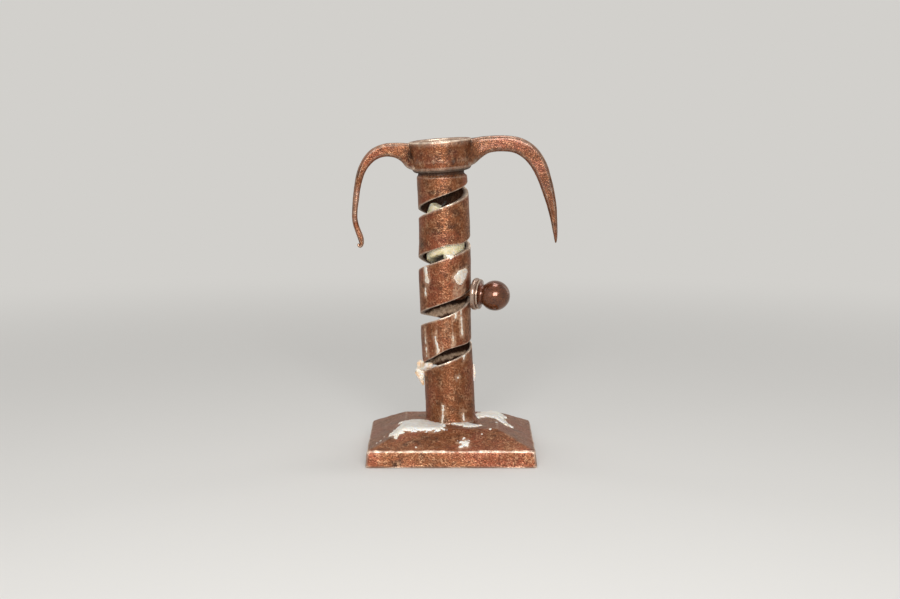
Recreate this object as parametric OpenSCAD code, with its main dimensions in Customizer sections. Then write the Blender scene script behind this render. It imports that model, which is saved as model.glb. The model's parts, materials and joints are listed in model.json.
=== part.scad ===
// Cellar rat candle holder: a spiral-cut iron tube on a hipped foot.
// Millimetres. The origin is the middle of the foot's underside, +Z is up,
// and the spike arm points along +X. The tube leans a little towards -X.

/* [Foot plate] */
// Side of the square foot at the floor
plate_side = 102; // [90:1:130]
// How much the rim face draws in from the floor to its top, each side
plate_draft = 1; // [0:0.25:3]
// Height of the upright rim face
rim_h = 10; // [5:0.5:16]
// Side of the flat top under the tube
plateau_side = 56; // [44:1:80]
// Height of the whole foot plate
plate_h = 20; // [14:0.5:30]

/* [Column] */
// Radius of the hole that the candle stands in
bore_r = 13.2; // [12.6:0.1:14]
// Wall at the foot of the tube
foot_wall = 2.1; // [1.6:0.1:3]
// Wall along the cut bands
band_wall = 2.8; // [2.2:0.1:3.6]
// Wall just under the collar
neck_wall = 2.3; // [1.9:0.1:3]
// How far the foot flares out where it meets the plate
flare = 1.6; // [0.4:0.1:3]
// Height of that flare
flare_h = 2.5; // [1:0.25:5]
// Height of the plain tube below the bands
plain_h = 34; // [24:1:40]
// Height over which the wall thickens above the plain tube
band_rise = 24; // [16:1:30]
// Height over which the wall thins again below the shoulder
band_fall = 26; // [16:1:30]
// Height of the tube's shoulder, which the collar sits above
shoulder_h = 151.5; // [150:0.5:170]
// Lean of the tube to the left
lean = 2.3; // [0:0.1:4]

/* [Spiral slot] */
// Rise of the slot in one turn
pitch = 31.35; // [28:0.05:33]
// Slot height, measured along the tube
slot_w = 7.6; // [7.2:0.1:9]
// Height of the slot's middle at the front, in its lowest turn
slot_front_s = 41.8; // [40:0.1:46]
// Where the slot starts, in degrees before that front point
slot_before = 160; // [60:5:170]
// Where the slot ends, in degrees past that front point
slot_after = 1210; // [1180:5:1215]

/* [Collar] */
// Height of the collar
collar_h = 18.8; // [16:0.1:24]
// Radius of the collar at its top
collar_top_r = 19.4; // [18.6:0.1:23]
// Radius of the collar at its bottom
collar_foot_r = 18.4; // [17.8:0.1:22]
// Radius of the candle mouth
mouth_r = 13.7; // [13.3:0.1:14]
// Worn edge around the mouth
mouth_bevel = 1.2; // [0.8:0.1:2]
// Rounding of the collar's lower lip
lip_round = 1.8; // [0.5:0.1:2.5]
// Gap between the tube's shoulder and the collar
collar_gap = 1.1; // [0.5:0.1:3]
// Height of the spigot in the collar's socket
spigot_h = 8.5; // [6:0.5:11]
// Wall of the spigot
spigot_wall = 1.4; // [1:0.1:1.6]
// How far the collar and its arms tip from the tube's own axis
collar_tilt = 2; // [0:0.25:3]

/* [Arms] */
// Reach of the spike arm's outer bend from the collar's middle
spike_reach = 67.9; // [58:0.5:80]
// Drop of the spike's point below the collar's top
spike_drop = 68.3; // [55:0.5:80]
// Reach of the hook arm's outer bend from the collar's middle
hook_reach = 57; // [50:0.5:68]
// Drop of the hook's tip below the collar's top
hook_drop = 62; // [50:0.5:75]
// Depth of the spike arm's bar at its bend, top to bottom
spike_w = 10; // [8:0.25:12]
// Depth of the hook arm's bar near the collar, top to bottom
hook_w = 8; // [6:0.25:10]
// Thickness of both arms' bar near the collar, front to back
arm_thick = 8; // [6:0.25:11]
// Width of the arms' root on the collar, front to back
root_spread = 24.4; // [22:0.2:25]

/* [Pusher and knob] */
// Radius of the stud through the slot
stud_r = 1.8; // [1.5:0.05:2]
// How far the stud rides below the slot's middle
stud_drop = 1.2; // [0:0.1:1.2]
// Direction of the knob, turned to the front from +X
knob_turn = 17; // [5:1:30]
// Droop of the knob below square to the tube
knob_droop = 5; // [0:0.5:6]
// Height of the disc under the candle
disc_h = 9; // [7:0.5:12]
// Play of that disc in the tube, at each side
disc_play = 0.35; // [0.2:0.05:0.6]
// Radius of the rim disc that bears on the tube
rim_disc_r = 9.9; // [8:0.1:11]
// Thickness of the rim disc
rim_disc_t = 4; // [3:0.1:5]
// Dish of the rim disc's back, so that it clears the round tube
rim_dish = 0.7; // [0.4:0.1:1.2]
// Radius of the ball on the knob
ball_r = 9.2; // [7:0.1:11]
// Radius of the neck between the ball and the ogee
neck_r = 6; // [4:0.1:6.5]
// Length of the ogee, from the rim disc to the neck
ogee_l = 3.4; // [2.5:0.1:5]

/* [Candle] */
// Radius of the candle
candle_r = 12.2; // [11:0.1:12.4]
// Length of the stub left
stub_l = 48; // [20:1:60]
// Depth of the melted hollow in its top
melt_depth = 4; // [2:0.5:8]
// Height of the wick above the hollow's floor
wick_h = 9; // [5:0.5:14]
// Radius of the wick
wick_r = 0.9; // [0.6:0.1:1.3]
// Depth that the wick is set in the stub
wick_set = 6; // [3:0.5:10]

/* [Fixings] */
// Radius of the tenon that holds the tube on the plate
tenon_r = 6; // [4:0.25:8]
// Radius of its riveted head
rivet_r = 9; // [8.5:0.25:12]
// Depth of the riveted head in the plate
rivet_h = 3; // [2:0.25:4]
// Height of the plug in the tube's foot
plug_h = 9; // [6:0.5:14]
// Gap between fixed pieces that fit in each other
fit = 0.1; // [0.05:0.05:0.2]
// Gap between moving pieces and what they pass
play = 0.3; // [0.2:0.05:0.5]

/* [Wax] */
// Thickness of the wax spilled on the foot
wax_t = 0.8; // [0.5:0.1:1.5]
// How far the thick drip stands out from the tube
lump_out = 5; // [3:0.25:7]
// Length of the thick drip
lump_l = 14; // [10:0.5:18]
// Length of the thin drip
run_l = 9; // [6:0.5:14]
// Rounding of the spills' edges
spill_round = 0.8; // [0.4:0.1:1.5]

/* [Hidden] */

$fn = 96;
iron = "#8a5234";
dark_iron = "#5d3320";
knob_iron = "#7c3f26";
wax_white = "#e8e0d0";
candle_cream = "#ded6b4";
cotton = "#3a332c";

foot_r = bore_r + foot_wall;
band_r = bore_r + band_wall;
neck_end_r = bore_r + neck_wall;
spigot_r = bore_r + spigot_wall;
band_start = plain_h + band_rise;
band_end = shoulder_h - band_fall;
shoulder_round = 1;
column_h = shoulder_h + spigot_h;
// The tube is made this much too long below, and is cut off level with the plate
tube_extra = 2;
// Heights along the tube that the collar takes from it
collar_foot_s = shoulder_h + collar_gap;
collar_top_s = collar_foot_s + collar_h + collar_foot_r * tan(collar_tilt);
socket_r = spigot_r + fit;

// The slot's middle, as a height along the tube, at an angle past the front
function slot_s(a) = slot_front_s + pitch * a / 360;
slot_step = 10;
slot_reach = 6;

// The knob rests in the slot's second turn
knob_az = -knob_turn;
knob_angle = 360 + 90 - knob_turn;
wall_mid_r = bore_r + band_wall / 2;
knob_s = slot_s(knob_angle) - stud_drop + wall_mid_r * tan(knob_droop);
rim_boss_r = rim_disc_r / 2;
rim_rho = (band_r + play) / cos(knob_droop) + rim_boss_r * tan(knob_droop);
knob_rho = rim_rho + rim_disc_t;
stud_in = 4;
stud_grip = 8;
neck_rho = knob_rho + ogee_l;
ball_rho = neck_rho + sqrt(ball_r * ball_r - neck_r * neck_r);
candle_s = knob_s + disc_h / 2;

rim_half = plate_side / 2 - plate_draft;
plateau_half = plateau_side / 2;
floor_half = plate_side / 2;

// Everything on the tube is placed along its leaning axis
module on_tube(s = 0) {
    translate([0, 0, plate_h]) rotate([0, -lean, 0]) translate([0, 0, s]) children();
}

// Everything on the collar is placed from the middle of its top
module on_collar() {
    on_tube(collar_top_s) rotate([0, -collar_tilt, 0]) children();
}

// Z runs out along the stud, from the tube's axis
module on_stud() {
    on_tube(knob_s) rotate([0, 0, knob_az]) rotate([0, 90 + knob_droop, 0]) children();
}

module above_plate() {
    room = 2 * column_h;
    translate([-room / 2, -room / 2, plate_h]) cube(room);
}

// Foot plate

module plate_solid() {
    halves = [[floor_half, 0], [rim_half, rim_h], [plateau_half, plate_h]];
    corners = [[-1, -1], [1, -1], [1, 1], [-1, 1]];
    polyhedron(
        points = [for (h = halves) for (c = corners) [c.x * h[0], c.y * h[0], h[1]]],
        faces = concat(
            [[0, 1, 2, 3], [11, 10, 9, 8]],
            [for (k = [0, 1]) for (i = [0:3])
                [4 * k + i, 4 * k + 4 + i, 4 * k + 4 + (i + 1) % 4, 4 * k + (i + 1) % 4]]
        )
    );
}

module base_plate() {
    color(iron) difference() {
        plate_solid();
        translate([0, 0, -1]) cylinder(r = tenon_r + fit, h = plate_h + 2);
        rivet_cone(fit);
    }
}

module rivet_cone(gap = 0) {
    rotate_extrude() polygon([
        [0, 0], [rivet_r + gap, 0], [tenon_r + gap, rivet_h + gap], [0, rivet_h + gap]
    ]);
}

module foot_plug() {
    color(dark_iron) union() {
        cylinder(r = tenon_r, h = plate_h + 1);
        rivet_cone();
        intersection() {
            on_tube(-tube_extra) cylinder(r = bore_r - fit, h = plug_h + tube_extra);
            above_plate();
        }
    }
}

// Column

module tube_outside() {
    rotate_extrude() polygon([
        [0, -tube_extra], [foot_r + flare, -tube_extra], [foot_r + flare, 0],
        [foot_r + flare * 0.35, flare_h * 0.4], [foot_r, flare_h],
        [foot_r, plain_h], [band_r, band_start], [band_r, band_end],
        [neck_end_r, shoulder_h - shoulder_round],
        [neck_end_r - shoulder_round, shoulder_h], [spigot_r, shoulder_h],
        [spigot_r, column_h], [0, column_h]
    ]);
}

// A square-sectioned ribbon that winds up the tube, four corners a ring
module slot_cutter() {
    rings = ceil((slot_before + slot_after) / slot_step);
    r_in = bore_r - slot_reach;
    r_out = band_r + slot_reach;
    section = [[r_in, -slot_w / 2], [r_out, -slot_w / 2], [r_out, slot_w / 2], [r_in, slot_w / 2]];
    ring_points = [
        for (i = [0:rings]) let (a = -slot_before + (slot_before + slot_after) * i / rings)
            for (c = section) [c[0] * cos(a - 90), c[0] * sin(a - 90), slot_s(a) + c[1]]
    ];
    sides = [
        for (i = [0:rings - 1]) for (k = [0:3])
            let (p = 4 * i + k, q = 4 * i + (k + 1) % 4)
                each [[q + 4, p + 4, p], [q, q + 4, p]]
    ];
    last = 4 * rings;
    ends = [[3, 2, 1, 0], [last, last + 1, last + 2, last + 3]];
    polyhedron(points = ring_points, faces = concat(sides, ends), convexity = 10);
}

module column() {
    color(iron) intersection() {
        on_tube() difference() {
            tube_outside();
            translate([0, 0, -2 * tube_extra]) cylinder(r = bore_r, h = column_h + 3 * tube_extra);
            slot_cutter();
        }
        above_plate();
    }
}

// Collar and arms

module collar_outside(grow = 0) {
    lip_r = collar_foot_r + grow;
    rotate_extrude() polygon([
        [0, -collar_h], [lip_r - lip_round, -collar_h],
        [lip_r - lip_round * 0.3, -collar_h + lip_round * 0.3],
        [lip_r, -collar_h + lip_round], [collar_top_r + grow, -0.8],
        [collar_top_r + grow - 0.8, 0], [0, 0]
    ]);
}

module collar() {
    color(iron) difference() {
        on_collar() collar_outside();
        on_tube(collar_foot_s - 5) cylinder(r = socket_r, h = column_h - collar_foot_s + 5);
        on_tube(collar_foot_s) cylinder(r = mouth_r, h = collar_h + 5);
        on_tube(collar_top_s - mouth_bevel)
            cylinder(r1 = mouth_r, r2 = mouth_r + 4, h = 4);
    }
}

// Cubic through four stations, between the second and the third
function blend(p, q, r, s, t) =
    0.5 * (2 * q + (r - p) * t + (2 * p - 5 * q + 4 * r - s) * t * t
        + (3 * q - p - 3 * r + s) * t * t * t);

function station(list, i) = list[max(0, min(len(list) - 1, i))];

function smooth(list, parts) = [
    for (i = [0:len(list) - 2]) for (k = [0:parts - 1])
        blend(station(list, i - 1), list[i], list[i + 1], station(list, i + 2), k / parts),
    list[len(list) - 1]
];

// A bar forged flat in the XZ plane. A station is [x, z, width, thickness],
// and the section is a rectangle with its corners taken off.
module forged_bar(stations, parts = 3, side = 1) {
    path = smooth(stations, parts);
    n = len(path);
    ring_points = [
        for (i = [0:n - 1])
            let (
                s = path[i],
                a = path[max(0, i - 1)],
                b = path[min(n - 1, i + 1)],
                run = norm([b[0] - a[0], b[1] - a[1]]),
                tx = (b[0] - a[0]) / run,
                tz = (b[1] - a[1]) / run,
                u = s[2] / 2,
                v = s[3] / 2,
                cut = min(1.2, 0.3 * min(s[2], s[3])),
                outline = [
                    [u, v - cut], [u - cut, v], [cut - u, v], [-u, v - cut],
                    [-u, cut - v], [cut - u, -v], [u - cut, -v], [u, cut - v]
                ]
            )
            for (c = outline) [side * (s[0] - tz * c[0]), c[1], s[1] + tx * c[0]]
    ];
    sides = [
        for (i = [0:n - 2]) for (k = [0:7])
            let (p = 8 * i + k, q = 8 * i + (k + 1) % 8)
                each [[p, p + 8, q + 8], [p, q + 8, q]]
    ];
    last = 8 * (n - 1);
    ends = [[for (k = [0:7]) k], [for (k = [7:-1:0]) last + k]];
    faces = concat(sides, ends);
    polyhedron(
        points = ring_points,
        faces = side > 0 ? [for (f = faces) [for (k = [len(f) - 1:-1:0]) f[k]]] : faces,
        convexity = 6
    );
}

// Both arms spring from the collar through the same hollow fillet, which is
// a little shorter than the collar and a little above its middle
root_short = 2.7;
root_up = 0.45;
root_z = root_up - collar_h / 2;
root_w = collar_h - root_short;
function root_stations() = [
    for (f = [[-6.4, 0, 0.98], [-4.4, 0, 1], [-2.4, 0, 0.84], [-0.4, 0.4, 0.63], [1.8, 2.6, 0.46]])
        [collar_top_r + f[0], root_z + f[1] / 2, root_w - f[1], root_spread * f[2]]
];

// An arm past its root: each row is its way out from the collar's side as a
// share of the whole, its drop as a share, then shares of its depth and thickness
function arm_stations(rows, reach, drop, depth) = [
    for (r = rows)
        [collar_top_r + r[0] * (reach - collar_top_r), -r[1] * drop, r[2] * depth, r[3] * arm_thick]
];

spike_stations = concat(root_stations(), arm_stations([
    [0.099, 0.086, 1.18, 1.08], [0.198, 0.072, 0.99, 1], [0.342, 0.069, 0.94, 0.95],
    [0.487, 0.081, 0.98, 0.95], [0.602, 0.108, 1.02, 0.94], [0.701, 0.164, 1.03, 0.92],
    [0.781, 0.237, 0.99, 0.9], [0.837, 0.322, 0.91, 0.87], [0.878, 0.43, 0.81, 0.82],
    [0.911, 0.542, 0.7, 0.75], [0.938, 0.659, 0.58, 0.66], [0.953, 0.776, 0.45, 0.52],
    [0.959, 0.878, 0.33, 0.38], [0.961, 0.952, 0.19, 0.24], [0.959, 1, 0.07, 0.1]
], spike_reach, spike_drop, spike_w));

hook_stations = concat(root_stations(), arm_stations([
    [0.122, 0.085, 1.35, 1.08], [0.242, 0.065, 1.06, 1], [0.362, 0.06, 1, 0.92],
    [0.503, 0.076, 0.94, 0.88], [0.625, 0.119, 0.8, 0.85], [0.731, 0.19, 0.68, 0.83],
    [0.814, 0.281, 0.61, 0.8], [0.87, 0.403, 0.54, 0.77], [0.91, 0.524, 0.48, 0.73],
    [0.941, 0.645, 0.43, 0.68], [0.952, 0.726, 0.44, 0.64], [0.92, 0.811, 0.45, 0.58],
    [0.875, 0.895, 0.41, 0.5], [0.872, 0.948, 0.33, 0.44], [0.899, 1, 0.18, 0.36]
], hook_reach, hook_drop, hook_w));

module spike_arm() {
    color(iron) on_collar() difference() {
        forged_bar(spike_stations, side = 1);
        collar_outside(fit);
    }
}

module hook_arm() {
    color(iron) on_collar() difference() {
        forged_bar(hook_stations, side = -1);
        collar_outside(fit);
    }
}

// Pusher and knob

module pusher_disc() {
    disc_r = bore_r - disc_play;
    edge = 0.8;
    color(dark_iron) difference() {
        on_tube(knob_s) rotate_extrude() polygon([
            [0, -disc_h / 2], [disc_r - edge, -disc_h / 2], [disc_r, edge - disc_h / 2],
            [disc_r, disc_h / 2 - edge], [disc_r - edge, disc_h / 2], [0, disc_h / 2]
        ]);
        on_stud() translate([0, 0, stud_in]) cylinder(r = stud_r + fit, h = bore_r);
    }
}

module pusher_stud() {
    color(dark_iron) on_stud() translate([0, 0, stud_in])
        cylinder(r = stud_r, h = knob_rho + stud_grip - stud_in);
}

module slot_washer() {
    soft = 1;
    color(knob_iron) on_stud() rotate_extrude() polygon([
        [stud_r + fit, rim_rho], [rim_boss_r, rim_rho],
        [rim_disc_r - soft, rim_rho + rim_dish], [rim_disc_r, rim_rho + rim_dish + soft * 0.7],
        [rim_disc_r, knob_rho - soft], [rim_disc_r - soft * 0.3, knob_rho - soft * 0.3],
        [rim_disc_r - soft, knob_rho], [stud_r + fit, knob_rho]
    ]);
}

// The ogee is a quarter hollow between the rim disc and the neck
module knob() {
    shoulder_r = rim_disc_r - 0.9;
    hollow = shoulder_r - neck_r;
    arc_steps = 6;
    ball_steps = 18;
    start = asin(neck_r / ball_r);
    color(knob_iron) on_stud() difference() {
        rotate_extrude() polygon(concat(
            [[0, knob_rho], [shoulder_r, knob_rho], [shoulder_r, knob_rho + 0.5]],
            [for (i = [1:arc_steps]) let (a = 90 * i / arc_steps)
                [shoulder_r - hollow * sin(a), knob_rho + 0.5 + (ogee_l - 0.5) * (1 - cos(a))]],
            [for (i = [1:ball_steps]) let (a = start + (180 - start) * i / ball_steps)
                [ball_r * sin(a), ball_rho - ball_r * cos(a)]]
        ));
        translate([0, 0, knob_rho - 1]) cylinder(r = stud_r + fit, h = stud_grip + 1 + play);
    }
}

// Candle

module candle_stub() {
    soft = 2;
    color(candle_cream) on_tube(candle_s) difference() {
        rotate_extrude() polygon([
            [0, 0], [candle_r, 0], [candle_r, stub_l - soft], [candle_r - 0.6, stub_l - 0.6],
            [candle_r - soft, stub_l], [candle_r - soft - 3, stub_l - melt_depth * 0.8],
            [0, stub_l - melt_depth]
        ]);
        translate([0, 0, stub_l - melt_depth - wick_set])
            cylinder(r = wick_r + fit, h = melt_depth + wick_set + 1);
    }
}

module wick() {
    color(cotton) on_tube(candle_s + stub_l - melt_depth - wick_set)
        cylinder(r = wick_r, h = wick_h + wick_set);
}

// Wax

// Wax on the foot follows the hipped top, under a plan outline that is drawn
// in hundredths of the foot's side
module spill(outline) {
    color(wax_white) difference() {
        intersection() {
            translate([0, 0, wax_t]) plate_solid();
            linear_extrude(height = 2 * plate_h) offset(r = spill_round, $fn = 24)
                polygon(outline * plate_side / 100);
        }
        plate_solid();
        on_tube(-plate_h / 2) cylinder(r = foot_r + flare + fit, h = plate_h);
    }
}

module wax_spill_left() {
    spill([[-14.5, -4], [-17, -1], [-23, -2], [-29, -5], [-33, -4], [-31, -13], [-34, -24],
           [-35, -35], [-30.5, -37], [-26, -33], [-20, -32], [-14, -31], [-7, -30],
           [-4.6, -25], [-5, -15]]);
}

module wax_spill_right() {
    spill([[0, -14], [3, -19], [7, -21.5], [11, -22], [15, -18], [19, -14.5], [17, -10], [14, -7]]);
}

module wax_spill_back() {
    spill([[14.5, 4], [18, 6], [24, 9], [29, 5], [33, -2], [36.5, 4], [36, 10], [31, 12],
           [32, 19], [29, 26], [24, 27], [18, 22], [14, 13]]);
}

module wax_spot() {
    spill([[4.8, -41.5], [7, -38.2], [8.6, -40.6], [10.2, -41.8], [8.4, -45.2], [6.4, -45]]);
}

// A drip on the tube: beads of wax joined down its length.
// A bead is [height below the top, how far its middle stands out, radius].
module drip(top_s, az, beads) {
    color(wax_white) difference() {
        on_tube() rotate([0, 0, az]) for (i = [0:len(beads) - 2]) hull() for (k = [0, 1]) {
            b = beads[i + k];
            translate([foot_r + b[1], 0, top_s - b[0]]) sphere(r = b[2], $fn = 14);
        }
        on_tube() cylinder(r = foot_r + (band_r - foot_r) * 0.15 + fit, h = column_h);
    }
}

lump_top_s = slot_s(-90) + 2;
run_top_s = plain_h - 0.5;

module wax_lump() {
    drip(lump_top_s, 180, [
        [1.5, lump_out - 3.4, 1.9], [lump_l * 0.38, lump_out - 2.6, 2.5],
        [lump_l * 0.66, 0.6, 2], [lump_l, 0.2, 0.8]
    ]);
}

module wax_run() {
    drip(run_top_s, 0, [[run_l * 0.1, 0.4, 0.9], [run_l * 0.55, 0.5, 1.1], [run_l, 0.2, 0.8]]);
}

base_plate();
foot_plug();
column();
collar();
hook_arm();
spike_arm();
pusher_disc();
pusher_stud();
slot_washer();
knob();
candle_stub();
wick();
wax_lump();
wax_run();
wax_spill_left();
wax_spill_right();
wax_spill_back();
wax_spot();
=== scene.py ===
"""The looks of a cellar rat candle holder: a spiral-cut tube of forged iron on a hipped foot,
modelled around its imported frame. Lengths are metres, and names ending in MM are millimetres."""

import json
import math

import bmesh
import bpy
from bpy.props import FloatProperty, FloatVectorProperty, PointerProperty
from mathutils import Matrix, Vector, noise
from mathutils.bvhtree import BVHTree


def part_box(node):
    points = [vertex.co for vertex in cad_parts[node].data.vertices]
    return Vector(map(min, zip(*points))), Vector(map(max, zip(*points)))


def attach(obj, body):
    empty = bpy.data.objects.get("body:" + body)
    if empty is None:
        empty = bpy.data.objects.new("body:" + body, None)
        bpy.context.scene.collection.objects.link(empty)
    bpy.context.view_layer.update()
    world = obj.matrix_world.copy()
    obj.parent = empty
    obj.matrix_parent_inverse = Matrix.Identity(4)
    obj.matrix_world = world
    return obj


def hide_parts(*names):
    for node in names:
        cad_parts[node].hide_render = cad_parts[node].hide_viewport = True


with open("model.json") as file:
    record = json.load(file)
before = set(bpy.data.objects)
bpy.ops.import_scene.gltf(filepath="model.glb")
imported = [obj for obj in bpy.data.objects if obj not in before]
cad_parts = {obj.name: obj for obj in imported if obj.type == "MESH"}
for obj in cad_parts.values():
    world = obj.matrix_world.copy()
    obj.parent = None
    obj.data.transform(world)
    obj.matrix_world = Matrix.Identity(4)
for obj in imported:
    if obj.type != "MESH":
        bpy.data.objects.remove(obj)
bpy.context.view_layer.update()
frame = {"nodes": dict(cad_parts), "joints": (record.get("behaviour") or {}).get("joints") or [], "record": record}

bl_info = {
    "name": "Spiral Candle Holder",
    "version": (1, 0, 0),
    "blender": (4, 5, 0),
    "location": "View3D > Sidebar > Candle Holder",
    "description": "Models a forged iron candle holder with a spiral slot around its frame",
    "category": "Add Mesh",
}

MM = 0.001
UP = Vector((0, 0, 1))

# What the frame says of the leaning tube and of the screw that the knob follows
TUBE_AXIS = Vector(frame["joints"][0]["axis"])
LEAN = math.atan2(-TUBE_AXIS.x, TUBE_AXIS.z)
PITCH = 2 * math.pi / frame["record"]["behaviour"]["couplings"][0]["ratio"]
PLATE_LOW, PLATE_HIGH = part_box("base_plate")
DISC_LOW, DISC_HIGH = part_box("pusher_disc")
KNOB_HEIGHT = ((DISC_LOW.z + DISC_HIGH.z) / 2 - PLATE_HIGH.z) / TUBE_AXIS.z


def srgb(code):
    """The linear colour of an sRGB hex code."""
    parts = [int(code[i:i + 2], 16) / 255 for i in (1, 3, 5)]
    return tuple(p / 12.92 if p <= 0.04045 else ((p + 0.055) / 1.055) ** 2.4 for p in parts)


def length(name, description, millimetres):
    """A length that a user can change, given here in millimetres."""
    return FloatProperty(name=name, description=description, default=millimetres * MM,
                         unit="LENGTH", precision=5)


def turn(name, description, degrees):
    """An angle that a user can change, given here in degrees."""
    return FloatProperty(name=name, description=description, default=math.radians(degrees),
                         unit="ROTATION")


def power(name, description, watts):
    """The power of a lamp that a user can change, in watts."""
    return FloatProperty(name=name, description=description, default=watts, unit="POWER")


def tint(name, description, code):
    """A colour that a user can change, given here as an sRGB hex code."""
    return FloatVectorProperty(name=name, description=description, default=srgb(code),
                               subtype="COLOR", size=3, min=0, max=1)


class TubeSizes(bpy.types.PropertyGroup):
    """Sizes of the spiral-cut tube."""

    bore: length("Bore", "Radius of the hole that the candle stands in", 13.15)
    blank: length("Blank", "Radius of the tube before it is forged out of round", 16)
    wall: length("Wall", "Thickness of the sheet that the tube is rolled from", 2.8)
    top: length("Top", "Height of the tube along its axis", 160)
    shoulder: length("Shoulder", "Height of the shoulder under the collar", 151.2)
    spigot: length("Spigot", "Radius above the shoulder", 14)
    slot_front: length("Slot height", "Height of the slot at the front, in its lowest turn", 41.8)
    slot_start: turn("Slot start", "Where the slot starts, from the front", -160)
    slot_end: turn("Slot end", "Where the slot ends, from the front", 1210)
    edge_wear: length("Edge wear", "Rounding of the sawn edges", 0.42)


class FootSizes(bpy.types.PropertyGroup):
    """Sizes of the hipped foot."""

    rim: length("Rim", "Height of the upright rim", 10)
    draft: length("Draft", "How far the rim draws in towards its top", 1)
    plateau: length("Plateau", "Side of the flat top", 56)
    edge: length("Edge", "Rounding of the worn edges", 1.0)
    rivet: length("Rivet", "Radius of the sunk rivet under the foot", 9.1)
    tenon: length("Tenon hole", "Radius of the hole for the tenon", 6.1)
    rivet_depth: length("Rivet depth", "Depth of the countersink", 3.1)


class CollarSizes(bpy.types.PropertyGroup):
    """Sizes of the collar and the place of its top."""

    top: length("Top", "Height of the collar's top along the tube", 172.04)
    tilt: turn("Tilt", "How far the collar tips from the tube's axis", 2)
    height: length("Height", "Height of the collar", 18.8)
    radius: length("Radius", "Radius at the top", 19.35)
    foot_radius: length("Foot radius", "Radius at the bottom", 18.35)
    mouth: length("Mouth", "Radius of the candle mouth", 13.7)
    socket: length("Socket", "Radius that the tube's top sits in", 14.7)
    socket_depth: length("Socket depth", "Depth of the mouth above the tube's top", 12.04)


class KnobSizes(bpy.types.PropertyGroup):
    """Sizes of the knob and its rim disc, measured out from the tube's axis."""

    turn: turn("Turn", "Direction of the knob, from the right to the front", 17)
    droop: turn("Droop", "Droop of the knob below square", 5)
    rim_place: length("Rim place", "Where the rim disc starts", 16.795)
    rim_radius: length("Rim radius", "Radius of the rim disc", 9.9)
    rim_thick: length("Rim thickness", "Thickness of the rim disc", 4)
    ball: length("Ball", "Radius of the ball", 9.2)
    neck: length("Neck", "Radius of the neck", 6)
    stud: length("Stud", "Radius of the hole for the stud", 1.9)
    grip: length("Grip", "Depth that the stud reaches into the knob", 8.3)


class CandleSizes(bpy.types.PropertyGroup):
    """Sizes of the candle stub."""

    radius: length("Radius", "Radius of the candle", 12.2)
    stub: length("Stub", "Length of the stub", 48)
    hollow: length("Hollow", "Depth of the melted hollow", 4)
    seat: length("Seat", "Height of the disc's top over the stud", 4.5)
    wick: length("Wick", "Length of the wick before it curls", 15)
    wick_radius: length("Wick radius", "Radius of the wick", 0.8)


class WaxSizes(bpy.types.PropertyGroup):
    """Sizes of the spilled wax."""

    spill: length("Spill", "Thickness of the wax on the foot", 0.75)
    splash: length("Splash", "Thickness of the small splashes on the foot", 0.3)
    smear: length("Smear", "Thickness of the smears on the tube", 0.28)
    grid: length("Grid", "Spacing of the wax meshes", 0.32)


class Colours(bpy.types.PropertyGroup):
    """Colours of the metal, the wax and the studio."""

    umber: tint("Umber", "Darkest patina", "#3a2217")
    rust: tint("Rust", "Middle of the patina", "#7c492b")
    red: tint("Red oxide", "Reddest patches of the patina", "#884530")
    # Tan: on the iron, partly dust and partly painted glints on the grain
    tan: tint("Tan", "Rubbed and dusty high spots", "#cda27c")
    # Bare edge: partly wear and partly painted highlight
    bare: tint("Bare edge", "Metal worn bare on the edges", "#f2dfca")
    glance: tint("Glance", "What glances off the patina", "#e7d4c4")
    # The colour of painted shade in hollows, gaps, inside the tube and in the candle's bite
    shade: tint("Soot", "Grime in corners and soot inside the tube", "#1c110b")
    wax: tint("Wax", "Spilled wax", "#f0ece3")
    old_wax: tint("Old wax", "Yellowed wax", "#dba768")
    dull_wax: tint("Dull wax", "Wax rubbed thin on the iron", "#d8d2c8")
    tallow: tint("Candle", "Candle", "#d3c69c")
    floor: tint("Floor", "Studio floor", "#e2e0dc")
    backdrop: tint("Backdrop", "Studio backdrop", "#d2d0cc")


class Studio(bpy.types.PropertyGroup):
    """Place of the camera and strength of the lamps."""

    camera: FloatVectorProperty(name="Camera", description="Place of the camera", size=3,
                                default=(-0.0007, -1.3, 0.2641), subtype="TRANSLATION")
    target: FloatVectorProperty(name="Target", description="Point in the middle of the view",
                                size=3, default=(-0.0007, 0, 0.0944), subtype="TRANSLATION")
    lens: FloatProperty(name="Lens", description="Focal length in millimetres", default=85.8,
                        unit="CAMERA")
    ambient: FloatProperty(name="Ambient", description="Strength of the light from all round",
                           default=0.1)
    key: power("Key", "Power of the soft light by the camera", 21)
    fill: power("Fill", "Power of the soft light at the left", 1.5)
    rim: power("Rim", "Power of each light behind the sides", 1.2)
    top: power("Top", "Power of the light overhead", 10)


GROUPS = {"tube": TubeSizes, "foot": FootSizes, "collar": CollarSizes, "knob": KnobSizes,
          "candle": CandleSizes, "wax": WaxSizes, "colours": Colours, "studio": Studio}


def sizes(name):
    return getattr(bpy.context.scene, "holder_" + name)


# Places

def on_tube(height=0.0):
    """A place on the leaning tube, at a height along it."""
    return (Matrix.Translation((0, 0, PLATE_HIGH.z)) @ Matrix.Rotation(-LEAN, 4, "Y")
            @ Matrix.Translation((0, 0, height)))


def on_collar():
    """The middle of the collar's top."""
    collar = sizes("collar")
    return on_tube(collar.top) @ Matrix.Rotation(-collar.tilt, 4, "Y")


def on_stud():
    """Z runs out along the stud from the tube's axis."""
    knob = sizes("knob")
    return (on_tube(KNOB_HEIGHT) @ Matrix.Rotation(-knob.turn, 4, "Z")
            @ Matrix.Rotation(math.pi / 2 + knob.droop, 4, "Y"))


# Modelling

def clear():
    """Object mode, with nothing selected."""
    if bpy.context.mode != "OBJECT":
        bpy.ops.object.mode_set(mode="OBJECT")
    bpy.ops.object.select_all(action="DESELECT")


def named(name):
    piece = bpy.context.active_object
    piece.name = piece.data.name = name
    return piece


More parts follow.
